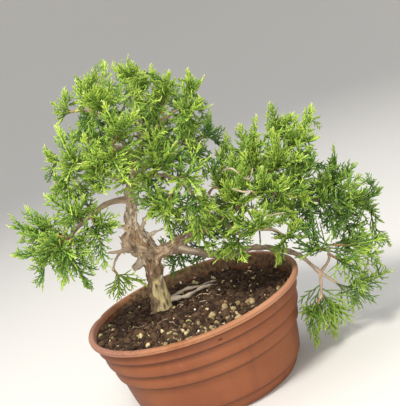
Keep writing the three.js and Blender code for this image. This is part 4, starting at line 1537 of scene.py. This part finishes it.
def sweep(points, radii, sides):
    """A closed tube along points, in millimetres."""
    frames = frame_along(list(points))
    rim = np.arange(sides) * 2 * math.pi / sides
    places = []
    for point, radius, (_, across, side) in zip(points, radii, frames):
        places.append(point + np.outer(np.sin(rim) * radius, across) + np.outer(np.cos(rim) * radius, side))
    places = np.vstack(places)
    faces = []
    for ring in range(len(points) - 1):
        first = ring * sides
        for i in range(sides):
            j = (i + 1) % sides
            faces.append((first + i, first + j, first + sides + j, first + sides + i))
    faces.append(tuple(reversed(range(sides))))
    faces.append(tuple(len(places) - sides + i for i in range(sides)))
    return places, faces


class Bundle:
    """Many small bodies of one piece, with numbers at their corners."""

    def __init__(self, *attributes):
        self.places = []
        self.faces = []
        self.count = 0
        self.values = {name: [] for name in attributes}

    def add(self, places, faces, **values):
        self.places.append(places)
        first = self.count
        self.faces.extend([tuple(first + v for v in face) for face in faces])
        self.count += len(places)
        for name, value in values.items():
            self.values[name].append(np.broadcast_to(value, len(places)))

    def piece(self, name):
        made = new_piece(name, np.vstack(self.places), self.faces)
        for attribute, values in self.values.items():
            set_attribute(made.data, attribute, np.concatenate(values))
        return made


def wood_routes():
    """Every limb as the solids have it, by name."""
    routes = {"trunk": TRUNK, **BARE_LIMBS, **ROOTS}
    for name, bough in BOUGHS.items():
        last = len(bough["route"]) - 1
        routes[name] = [(*p, mix(*bough["radius"], i / last)) for i, p in enumerate(bough["route"])]
    return routes


def limb_places(places, routes):
    """For each place, the limb it is on, the way along it, the turn round it and the limb's radius there."""
    count = len(places)
    best = np.full(count, 1e9)
    limb = np.zeros(count, int)
    along = np.zeros(count)
    turn = np.zeros(count)
    girth = np.ones(count)
    for number, (points, radii) in enumerate(routes):
        frames = frame_along(list(points))
        way = 0.0
        for i in range(len(points) - 1):
            step = points[i + 1] - points[i]
            length = math.sqrt(step @ step)
            offset = places - points[i]
            t = np.clip(offset @ step / length**2, 0, 1)
            away = offset - t[:, None] * step
            distance = np.sqrt((away * away).sum(axis=1))
            radius = mix(radii[i], radii[i + 1], t)
            closer = distance - radius < best
            best[closer] = (distance - radius)[closer]
            limb[closer] = number
            along[closer] = (way + t * length)[closer]
            _, across, side = frames[i]
            turn[closer] = np.arctan2(away @ side, away @ across)[closer]
            girth[closer] = radius[closer]
            way += length
    return limb, along, turn, girth


def bark_grain(kind, turn, along, limb):
    """Noise drawn out along a limb, at a turn round it and a way along it."""
    fineness, length, shift, x, y = BARK_GRAIN[kind]
    grip = Vector((math.cos(turn), math.sin(turn), 0))
    return noise.noise(grip * fineness + Vector((x, y, along / length + shift * limb)))


def lump_at(p, width, height):
    return noise.noise(Vector(p) / width) * height


def carve_bark(piece, names, routes):
    """Bark strips, lifted flakes and lumps on the trunk, bare wood with hollows at its foot; painted shade
    in hollows and cracks.
    """
    mesh = piece.data
    places = points_of(mesh) / MM
    normals = normals_of(mesh)
    limb, along, turn, girth = limb_places(places, routes)
    facing = np.arctan2(places[:, 1] - TRUNK_AXIS[1], places[:, 0] - TRUNK_AXIS[0])
    on_trunk = limb == names.index("trunk")
    side = np.cos(facing - STRIPPED_FACING)
    stripped = smooth_step(0.2, 0.45, side + 0.25 * np.sin(places[:, 2] * 0.35))
    stripped *= smooth_step(STRIPPED_TOP, STRIPPED_TOP - 9, places[:, 2] - 6 * side)
    stripped *= on_trunk | (limb == names.index("front_root"))
    bleach = np.array([BLEACHED.get(name, 0) for name in names])[limb]
    push = np.zeros(len(places))
    flake = np.zeros(len(places))
    crack = np.zeros(len(places))
    for i, p in enumerate(places):
        strip, thread, seam, plate = [bark_grain(kind, turn[i], along[i], limb[i]) for kind in BARK_GRAIN]
        lump = lump_at(p, *LUMPS) + lump_at(p, *SMALL_LUMPS)
        crack[i] = max(0.0, 1 - abs(seam) * 13) * min(1, girth[i] / 4)
        flake[i] = max(0.0, min(1.0, (plate - 0.08) * 9))
        bark = 0.8 * strip + 0.34 * thread + 1.15 * lump + 0.6 * flake[i]
        bare = 0.7 * strip + 0.35 * thread + 0.35 * lump
        size = min(1, girth[i] / 7) ** 0.6
        push[i] = mix(bark, bare, stripped[i]) * size
    push -= stripped * STRIPPED_SINK + CRACK_DEPTH * crack
    # painted shade: hollows, sunk places, cracks and the edge of the stripped wood are made dark
    edge = 4 * stripped * (1 - stripped)
    dark = np.zeros(len(places))
    for x, y, z, width, depth in HOLLOWS:
        offset = (places - (x, y, z)) / (width, width, width * 1.8)
        near = np.exp(-(offset * offset).sum(axis=1))
        push -= depth * near
        dark = np.maximum(dark, smooth_step(0.25, 0.75, near))
    put_points(mesh, (places + normals * push[:, None]) * MM)
    high = smooth_step(*PEELED_HEIGHT, places[:, 2]) * on_trunk
    pale = np.maximum(bleach, high * (0.3 + 0.7 * smooth_step(0.2, 0.9, flake)))
    set_attribute(mesh, "around_x", np.cos(turn) * girth)
    set_attribute(mesh, "around_y", np.sin(turn) * girth)
    set_attribute(mesh, "along", along + 37 * limb)
    set_attribute(mesh, "stripped", stripped)
    set_attribute(mesh, "pale", pale)
    hollow_shade = 0.72 * smooth_step(0.2, -1.2, push + STRIPPED_SINK * stripped)
    set_attribute(mesh, "dark", np.max((dark, hollow_shade, 0.75 * crack, 0.7 * edge), axis=0))


def bark_finish():
    """Grey-brown bark with purplish strips and pale flakes, cream wood where it is stripped, painted shade
    where dark is set.
    """
    finish = Finish("juniper bark", Roughness=0.85, Specular_IOR_Level=0.3)
    spot = finish.place()
    along = finish.attribute("along")
    around = [finish.attribute("around_x"), finish.attribute("around_y")]
    grain = finish.vector(around[0] * 0.45, around[1] * 0.45, along * 0.07)
    fine = finish.vector(around[0] * 1.4, around[1] * 1.4, along * 0.16)
    strips = finish.noise(grain, 1, 4, 0.65)
    threads = finish.noise(fine, 1, 4, 0.7)
    patches = finish.noise(spot, 60, 3, 0.6)
    bark = finish.blend(colour("7d6247"), colour("c0a482"), strips.ramp(0.34, 0.64))
    bark = finish.blend(bark, colour("8b6a59"), patches.ramp(0.52, 0.66) * 0.7)
    bark = finish.blend(bark, colour("dccbb0"), threads.ramp(0.58, 0.72) * 0.55)
    bark = finish.blend(bark, colour("4b3628"), threads.ramp(0.46, 0.34) * 0.6)
    pale = finish.attribute("pale")
    bark = finish.blend(bark, finish.blend(colour("dccbb0"), colour("e9dfd1"), strips), pale * 0.85)
    wood = finish.blend(colour("e3c580"), colour("fbe8b4"), threads.ramp(0.3, 0.6))
    wood = finish.blend(wood, colour("a1845a"), strips.ramp(0.6, 0.75) * 0.4)
    bark = finish.blend(bark, wood, finish.attribute("stripped"))
    # painted shade in the hollows, the cracks and along the edge of the stripped wood
    bark = finish.blend(bark, colour("2a1c14"), finish.attribute("dark") * 0.85)
    finish.takes("Base Color", bark)
    finish.takes("Roughness", 0.92 - 0.2 * pale)
    finish.takes_bump(strips * 0.8 + threads * 0.7, 0.7, 0.8 * MM)
    return finish.material


def make_trunk(routes, finish):
    """Trunk, bare limbs, roots and the two thick boughs, grown together into one skin."""
    names = ["trunk", *BARE_LIMBS, *ROOTS, *THICK_BOUGHS]
    bundle = Bundle()
    smoothed = []
    for name in names:
        points, radii = smooth_route(routes[name])
        if name in WANDERING_ROOTS:
            wander = np.sin(points[:, 0] * ROOT_WAVE + len(name)) * ROOT_WANDER
            points[:, 2] += ROOT_LIFT + 0.4 * wander
            points[:, 1] += wander
            radii = radii * ROOT_THINNING
        smoothed.append((points, radii))
        bundle.add(*sweep(points, radii, TRUNK_SIDES))
    for lump in BURL_LUMPS:
        bundle.add(*sweep(*smooth_route(lump), TRUNK_SIDES))
    piece = bundle.piece("trunk_and_roots")
    piece.data.remesh_voxel_size = TRUNK_VOXEL * MM
    piece.data.remesh_voxel_adaptivity = 0
    activate(piece)
    bpy.ops.object.voxel_remesh()
    apply_modifier(piece, "SMOOTH", factor=0.5, iterations=4)
    carve_bark(piece, names, smoothed)
    smooth(piece)
    place_piece(piece, finish, "bark", "trunk_and_branches")
    peel_flakes(piece, finish)


def model_flake():
    """A thin leaf of bark, 1 long and from -1 to 1 across."""
    deselect()
    bpy.ops.mesh.primitive_grid_add(x_subdivisions=3, y_subdivisions=4, size=2)
    flake = bpy.context.object
    apply_modifier(flake, "SOLIDIFY", thickness=0.5)
    places = points_of(flake.data)
    places[:, 1] = (places[:, 1] + 1) / 2
    places[:, 2] -= places[:, 2].min()
    places[:, 0] *= 1 - 0.75 * places[:, 1] ** 2
    faces = [tuple(polygon.vertices) for polygon in flake.data.polygons]
    bpy.data.objects.remove(flake)
    return places, faces


def peel_flakes(trunk, finish):
    """Leaves of bark peel off the burl, the fork and the upper trunk, some up and some down."""
    random = dice(FLAKE_SEED)
    model, faces = model_flake()
    skin = points_of(trunk.data) / MM
    normals = normals_of(trunk.data)
    x, _, z = skin.T
    (left, right), (low, high) = FLAKE_ZONE
    zone = (x > left) & (x < right) & (z > low) & (z < high)
    zone &= (x > FLAKE_BARE[0]) | (z > FLAKE_BARE[1])
    spots = np.flatnonzero(zone)
    x, y, z = model.T
    bundle = Bundle(*WOOD_LOOK)
    for i in range(FLAKES):
        spot = spots[int(random() * len(spots))]
        normal = normals[spot]
        sway = [between(random, *FLAKE_SWAY) for _ in range(2)]
        lean = np.array((*sway, 1 if random() < FLAKES_UP else -1))
        heading = unit(lean - normal * (lean @ normal))
        across = np.cross(heading, normal)
        length = between(random, *FLAKE_LENGTH)
        width = between(random, *FLAKE_WIDTH)
        lift = between(random, *FLAKE_LIFT)
        cup = between(random, *FLAKE_CUP)
        shaped = skin[spot] - normal * FLAKE_SINK
        shaped = shaped + np.outer(x * width, across) + np.outer((y - 0.3) * length, heading)
        shaped = shaped + np.outer(z * 0.9 + lift * y**2 - cup * width * x**2, normal)
        tone = random()
        bundle.add(
            shaped,
            faces,
            around_x=x * width * 2,
            around_y=i,
            along=y * length + 13 * i,
            stripped=0.4 * tone,
            pale=between(random, 0, 1) ** 2,
            # painted shade towards the sunk foot of the flake
            dark=0.35 * (1 - y) * random(),
        )
    piece = bundle.piece("bark_flakes")
    smooth(piece, GRAIN_CREASE)
    place_piece(piece, finish, "bark")


def make_branches(routes, sprays, finish):
    """The thinner boughs and the bare twigs of the sprays, knobbly where shoots were shed."""
    bundle = Bundle(*WOOD_LOOK)
    thin = [name for name in BOUGHS if name not in THICK_BOUGHS]
    limbs = [smooth_route(routes[name]) for name in thin]
    for plan in sprays:
        shares = [TWIG_SHARE * k / TWIG_PARTS for k in range(TWIG_PARTS + 1)]
        curve = [on_curve(plan["twig_curve"], share) for share in shares]
        limbs.append((np.array(curve), np.linspace(*TWIG_GIRTH, TWIG_PARTS + 1)))
    tones = [TWIG_PALE] * len(limbs) + [DEAD_TWIG_PALE] * len(DEAD_TWIGS)
    limbs += [smooth_route(route) for route in DEAD_TWIGS]
    for number, (points, radii) in enumerate(limbs):
        random = dice(TWIG_SEED + number)
        knobs = np.array([between(random, *TWIG_KNOBS) for _ in radii])
        places, faces = sweep(points, radii * knobs, TWIG_SIDES)
        length = np.repeat(np.cumsum([0, *np.linalg.norm(np.diff(points, axis=0), axis=1)]), TWIG_SIDES)
        rim = np.tile(np.arange(TWIG_SIDES) * 2 * math.pi / TWIG_SIDES, len(points))
        girth = np.repeat(radii, TWIG_SIDES)
        bundle.add(
            places,
            faces,
            around_x=np.cos(rim) * girth,
            around_y=np.sin(rim) * girth,
            along=length + 37 * number,
            stripped=0,
            pale=tones[number],
            dark=0,
        )
    piece = bundle.piece("branches_and_twigs")
    smooth(piece)
    place_piece(piece, finish, "bark", "trunk_and_branches")


# Foliage


def model_shoot(sides, rings):
    """A pointed, scaly rod from 0 to 1 along Z, drawn up from a disc ring by ring."""
    deselect()
    bpy.ops.mesh.primitive_circle_add(vertices=sides, radius=rings[0][1], fill_type="NGON")
    rod = bpy.context.object
    bpy.ops.object.mode_set(mode="EDIT")
    for (low, thin), (high, wide) in zip(rings, rings[1:]):
        bpy.ops.mesh.extrude_region_move(TRANSFORM_OT_translate={"value": (0, 0, high - low)})
        bpy.ops.transform.resize(value=(wide / thin, wide / thin, 1))
    bpy.ops.mesh.extrude_region_move(TRANSFORM_OT_translate={"value": (0, 0, 1 - rings[-1][0])})
    bpy.ops.mesh.merge(type="CENTER")
    bpy.ops.mesh.select_all(action="SELECT")
    bpy.ops.mesh.normals_make_consistent(inside=False)
    bpy.ops.object.mode_set(mode="OBJECT")
    places = points_of(rod.data)
    faces = [tuple(polygon.vertices) for polygon in rod.data.polygons]
    bpy.data.objects.remove(rod)
    return places, faces


class Spray:
    """One spray as it is put together: its bodies, its look and what it has to stay clear of."""

    def __init__(self, seed, plan, others, rods):
        self.random = dice(seed)
        self.others = others
        self.rods = rods
        self.bundle = Bundle("tip", "shade", "woody", "cool")
        self.loose = plan["bough"] in LOOSE_BOUGHS
        self.girth = LOOSE_GIRTH if self.loose else 1
        self.cool = SHADED_BOUGHS.get(plan["bough"], 0)
        self.rise = plan["rise"]
        self.lift = RISING_LIFT if self.rise > 0 else HANGING_LIFT
        self.lines = []
        self.axes = []

    def is_free(self, a, b, radius):
        return clear_of_pot(b) and is_off(self.others, a, b, radius, FINE_CLEARANCE)

    def painted_shade_at(self, p):
        """How much painted shade, with duller and bluer leaves, there is at a place."""
        for x, z, radius, much in SHADED_PLACES:
            far = math.dist((p[0], p[2]), (x, z))
            if far < radius:
                return max(self.cool, much * float(smooth_step(radius, 0.5 * radius, far)))
        return self.cool

    def add_rod(self, kind, a, pull, b, radius, tip_from, tip_to, shade):
        """A bent rod from a to b."""
        places, faces = self.rods[kind]
        _, across, side = frame_along([a, b])[0]
        z = places[:, 2:3]
        centre = (1 - z) ** 2 * a + 2 * (1 - z) * z * pull + z**2 * b
        shaped = centre + places[:, :1] * radius * across + places[:, 1:2] * radius * side
        tips = tip_from + (tip_to - tip_from) * places[:, 2]
        self.bundle.add(shaped, faces, tip=tips, shade=shade, woody=0, cool=self.painted_shade_at(b))
        self.lines.append((a, b, radius))

    def add_branchlets(self, curve, sideways, length, shade, first=0.1, tip_from=0.1, narrow=False):
        """Branchlets by turns left and right of a shoot, in one plane, shorter towards its tip."""
        spacing = BRANCHLET_SPACING * (LOOSE_SPACING if self.loose else 1)
        count = max(2, int(length * (BRANCHLET_STRETCH - first) / spacing))
        hand = 1 if self.random() < 0.5 else -1
        for i in range(count):
            s = mix(first, BRANCHLET_END, (i + between(self.random, *BRANCHLET_SHIFT)) / count)
            hand = -hand
            start = on_curve(curve, s)
            heading = unit(on_curve(curve, min(1, s + 0.05)) - on_curve(curve, s - 0.05))
            out = unit(sideways - heading * (sideways @ heading)) * hand
            out = unit(out + np.cross(heading, out) * between(self.random, *BRANCHLET_SWAY))
            size = BRANCHLET_SHARE * length * (1 - s) ** BRANCHLET_TAPER
            size *= between(self.random, *BRANCHLET_SPREAD)
            size = min(max(size, BRANCHLET_LENGTH[0]), BRANCHLET_LENGTH[1])
            size *= LOOSE_SIZE if self.loose else 1
            angle = between(self.random, *(ACUTE if narrow else LOOSE_ANGLE if self.loose else WIDE))
            self.add_branchlet(start, heading, out, size, angle, shade, mix(tip_from, 0.8, s))

    def add_branchlet(self, start, heading, out, size, angle, shade, tip_from):
        """A branchlet, shorter where it would touch another spray, and its two twiglets."""
        way = heading * math.cos(angle) + out * math.sin(angle)
        for share in BRANCHLET_TRIES:
            end = start + way * size * share
            if self.is_free(start, end, BRANCHLET_RADIUS):
                break
        else:
            return
        size *= share
        end = end + LIGHT * (self.lift * size)
        pull = mix(start, end, 0.5) + out * (BRANCHLET_BOW * size) - LIGHT * (BRANCHLET_SAG * size)
        tone = shade + between(self.random, *SHADE_SPREAD)
        girth = BRANCHLET_RADIUS * self.girth
        self.add_rod("branchlet", start, pull, end, girth, tip_from, tip_from + 0.25 * share, tone)
        if size < TWIGLET_LEAST or (self.loose and self.random() < LOOSE_BARE):
            return
        across = np.cross(heading, out)
        for k, s in enumerate(TWIGLET_PLACES):
            lean = (heading - out if k else out - heading) * TWIGLET_LEAN
            side = across * between(self.random, *TWIGLET_SWAY) + lean
            twiglet = unit(way + side) * size * between(self.random, *TWIGLET_SHARE)
            at = on_curve((start, pull, end), s)
            if self.is_free(at, at + twiglet, TWIGLET_RADIUS):
                self.add_rod(
                    "branchlet", at, at + twiglet * 0.5, at + twiglet,
                    TWIGLET_RADIUS, tip_from + 0.1, tip_from + 0.3, tone,
                )

    def add_plume(self, heading, seat, tip):
        """A shoot with its branchlets."""
        length = math.dist(seat, tip)
        way = (tip - seat) / length
        bow = -LIGHT if self.rise >= 0 else LIGHT * HANGING_BOW
        pull = (seat + tip) / 2 + bow * (SHOOT_BOW * length)
        curve = (seat, pull, tip)
        shade = between(self.random, *SHOOT_SHADES)
        self.add_rod("shoot", seat, pull, tip, FINE_SHOOT_RADIUS, 0.05, 0.9, shade)
        self.axes.append((seat, tip))
        sideways = heading - way * (heading @ way)
        if sideways @ sideways < 0.01:
            sideways = np.cross(way, LIGHT)
        sideways = unit(sideways)
        roll = between(self.random, *PLUME_ROLL)
        sideways = sideways * math.cos(roll) + np.cross(way, sideways) * math.sin(roll)
        self.add_branchlets(curve, sideways, length, shade)

    def add_stem(self, stem, main):
        """A woody stem that turns green, with its own tip as a plume."""
        points = list(stem["points"])
        radii = list(stem["radii"])
        if main:
            points.insert(0, points[0] + (points[0] - points[1]) * STEM_BURIED)
            radii.insert(0, radii[0])
        places, faces = sweep(points, np.array(radii) * STEM_SHRINK, STEM_SIDES)
        share = np.repeat(np.linspace(0, 1, len(points)), STEM_SIDES)
        woody = np.clip((WOODY_MAIN if main else WOODY_SIDE) - share, 0, 0.5) * 2
        self.bundle.add(places, faces, tip=share * 0.8, shade=0.5, woody=woody, cool=self.cool)
        for i in range(len(points) - 1):
            self.lines.append((points[i], points[i + 1], radii[i]))
            self.axes.append((points[i], points[i + 1]))
        seat = points[-2]
        across = stem["frames"][-1][1]
        tip = points[-1] + unit(unit(points[-1] - seat) + LIGHT * self.rise) * LEADER
        curve = (seat, points[-1], tip)
        self.add_rod("shoot", seat, points[-1], tip, FINE_SHOOT_RADIUS, 0.4, 1, 0.9)
        self.add_branchlets(curve, across, 1.2 * math.dist(seat, tip), 0.85, 0.05, 0.5, narrow=True)

    def add_fillers(self, stem):
        """Smaller shoots in the places that the solids leave free."""
        gaps = len(stem["points"]) - 1
        taken = [(gap, seat) for gap, seat, _ in stem["shoots"]]
        for gap in range(1, gaps):
            for face in (RIGHT, TOP) if gap % 2 else (LEFT,):
                s = (gap + 0.5) / gaps
                angle = mix(*FILLER_ANGLE, s) + between(self.random, *FILLER_ANGLE_SPREAD)
                length = mix(*FILLER_LENGTH, s) * between(self.random, *FILLER_LENGTH_SPREAD)
                turn = between(self.random, *FILLER_TURN)
                seat, tip = shoot(stem, gap, face, angle, turn, length, self.rise)
                if any(g == gap and math.dist(seat, other) < SEAT_TAKEN for g, other in taken):
                    continue
                if self.loose and self.random() < LOOSE_SKIPPED:
                    continue
                if self.is_free(seat, tip, FINE_SHOOT_RADIUS):
                    self.add_plume(stem["frames"][gap][0], seat, tip)


def foliage_finish():
    """Scale leaves: deep green within, partly older leaves and partly painted shade, yellow-green towards
    the tips, cream at the very end.
    """
    finish = Finish("juniper foliage", Roughness=0.55, Specular_IOR_Level=0.35)
    spot = finish.place()
    tip = finish.attribute("tip")
    shade = finish.attribute("shade")
    woody = finish.attribute("woody")
    cool = finish.attribute("cool")
    mottle = finish.noise(spot, 700, 2, 0.6)
    drift = finish.noise(spot, 28, 2, 0.5)
    # the random shade of each shoot and patches, lowered by painted shade
    light = (shade * 0.6 + drift * 0.5 - cool * 0.45).ramp(0.2, 0.85)
    inner = finish.blend(colour("35521f"), colour("608330"), light)
    outer = finish.blend(colour("6d9536"), colour("b0ca4d"), light)
    # deep green near the foot of a shoot, partly older leaves and partly painted shade
    leaf = finish.blend(inner, outer, tip.ramp(0.05, 0.75))
    # painted shade: shaded leaves turn a duller, bluer green, less so at their tips
    leaf = finish.blend(leaf, colour("467a43"), cool * (1 - tip * 0.6) * 0.55)
    leaf = finish.blend(leaf, colour("2d4a22"), mottle.ramp(0.5, 0.75) * 0.35)
    leaf = finish.blend(leaf, colour("dfe0a0"), (tip + shade * 0.1).ramp(0.9, 1.06) * 0.6)
    leaf = finish.blend(leaf, colour("9c7a4a"), woody)
    finish.takes("Base Color", leaf)
    finish.takes("Roughness", 0.5 + 0.25 * mottle)
    finish.takes_bump(mottle, 0.3, 0.2 * MM)
    return finish.material


def crown_targets():
    """The tips that stand out of the crown, and places all through its masses."""
    random = dice(CROWN_SEED)
    targets = [np.array(tip, float) for tip in REACHING]
    for x, y, z, radius in CROWN:
        for _ in range(int(TARGETS * radius**3)):
            way = np.array([random() - 0.5 for _ in range(3)])
            reach = radius * random() ** (1 / 3)
            offset = unit(way) * reach
            offset[1] *= CROWN_DEPTH
            target = np.array((x, y, z)) + offset
            if all(math.dist(target, spot[:3]) > spot[3] for spot in OPEN):
                targets.append(target)
    return targets


def fill_crown(made, inner):
    """Shoots grow from the sprays and from old wood into what is still empty of the crown's masses."""
    axes = [(a, b - a, spray, 0) for spray in made for a, b in spray.axes]
    for bough in BOUGHS.values():
        route = [place(p) for p in bough["route"]]
        last = len(route) - 1
        for i in range(last):
            if route[i][2] > LOWEST_BOUGH_SHOOT:
                girth = mix(*bough["radius"], i / last) * BARK + 1
                axes.append((route[i], route[i + 1] - route[i], inner, girth))
    targets = crown_targets()
    count = len(axes)
    starts = np.empty((count + FILL_ROUNDS * len(targets), 3))
    ways = np.empty(starts.shape)
    starts[:count] = [axis[0] for axis in axes]
    ways[:count] = [axis[1] for axis in axes]
    owners = [axis[2] for axis in axes]
    girths = [axis[3] for axis in axes]
    for _ in range(FILL_ROUNDS):
        left = []
        for target in targets:
            base = starts[:count]
            way = ways[:count]
            offset = target - base
            share = np.clip((offset * way).sum(axis=1) / (way * way).sum(axis=1), 0, 1)
            away = offset - way * share[:, None]
            gaps = (away * away).sum(axis=1)
            nearest = int(gaps.argmin())
            gap = math.sqrt(gaps[nearest])
            if gap < FILL_GAP[0]:
                continue
            if gap > FILL_GAP[1]:
                left.append(target)
                continue
            length = math.sqrt(way[nearest] @ way[nearest])
            seat = base[nearest] + way[nearest] * max(0.1, share[nearest] - FILL_SLANT * gap / length)
            reach = target - seat
            size = math.sqrt(reach @ reach)
            tip = seat + reach * (1 + FILL_BEYOND / size)
            spray = owners[nearest]
            clear = seat + reach * max(FILL_CLEAR, girths[nearest] / size)
            if not spray.is_free(clear, tip, FINE_SHOOT_RADIUS):
                continue
            spray.add_plume(way[nearest] / length, seat, tip)
            starts[count] = seat
            ways[count] = tip - seat
            owners.append(spray)
            girths.append(0)
            count += 1
        targets = left


def grow_fans(number, thicket, rods, finish):
    """The long shoots that hang and spread from the end of the cascade."""
    plan = {"bough": "cascade_tip", "rise": -0.2}
    fans = Spray(FAN_SEED, plan, thicket.foliage(), rods)
    for seat, tip in FANS:
        fans.add_plume(LIGHT, np.array(seat, float), np.array(tip, float))
    for a, b, radius in fans.lines:
        thicket.add(a, b, radius, number)
    piece = fans.bundle.piece("cascade_fans")
    smooth(piece)
    place_piece(piece, finish, "foliage")


def nearby_lines(thicket, box, wanted):
    """The thick lines that come within a shoot's reach of a box in metres."""
    low, high = (np.array(corner) / MM for corner in box)
    ends = thicket.ends[: thicket.count]
    near = (ends.min(axis=1) <= high + NEARBY).all(axis=1) & (ends.max(axis=1) >= low - NEARBY).all(axis=1)
    return thicket.lines(near & wanted)


def make_foliage(sprays, thicket):
    finish = foliage_finish()
    rods = {"branchlet": model_shoot(3, BRANCHLET_RINGS), "shoot": model_shoot(4, SHOOT_RINGS)}
    made = []
    for number, plan in enumerate(sprays):
        others = nearby_lines(thicket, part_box(plan["name"]), ~thicket.of_spray(number))
        spray = Spray(LEAF_SEED + number, plan, others, rods)
        for n, stem in enumerate(plan["stems"]):
            spray.add_stem(stem, n == 0)
            for gap, seat, tip in stem["shoots"]:
                spray.add_plume(stem["frames"][gap][0], seat, tip)
            spray.add_fillers(stem)
        for a, b, radius in spray.lines:
            thicket.add(a, b, radius, number)
        made.append(spray)
    grow_fans(len(sprays), thicket, rods, finish)
    inner_plan = {"bough": "inner_shoots", "rise": 0.2}
    inner = Spray(LEAF_SEED + len(sprays), inner_plan, thicket.foliage(), rods)
    fill_crown(made, inner)
    piece = inner.bundle.piece("inner_shoots")
    smooth(piece)
    place_piece(piece, finish, "foliage")
    for plan, spray in zip(sprays, made):
        piece = spray.bundle.piece(plan["name"] + "_leaves")
        smooth(piece)
        place_piece(piece, finish, "foliage", plan["name"])


# The whole bonsai


def build():
    aim_camera()
    light_studio()
    lay_floor()
    routes = wood_routes()
    thicket = Thicket()
    for route in routes.values():
        thicket.add_route([place(p) for p in route], [p[3] * BARK for p in route])
    sprays = plan_sprays(thicket)
    bark = bark_finish()
    make_pot()
    make_soil(thicket.wood())
    lay_root_hairs(bark)
    make_trunk(routes, bark)
    make_branches(routes, sprays, bark)
    make_foliage(sprays, thicket)


build()
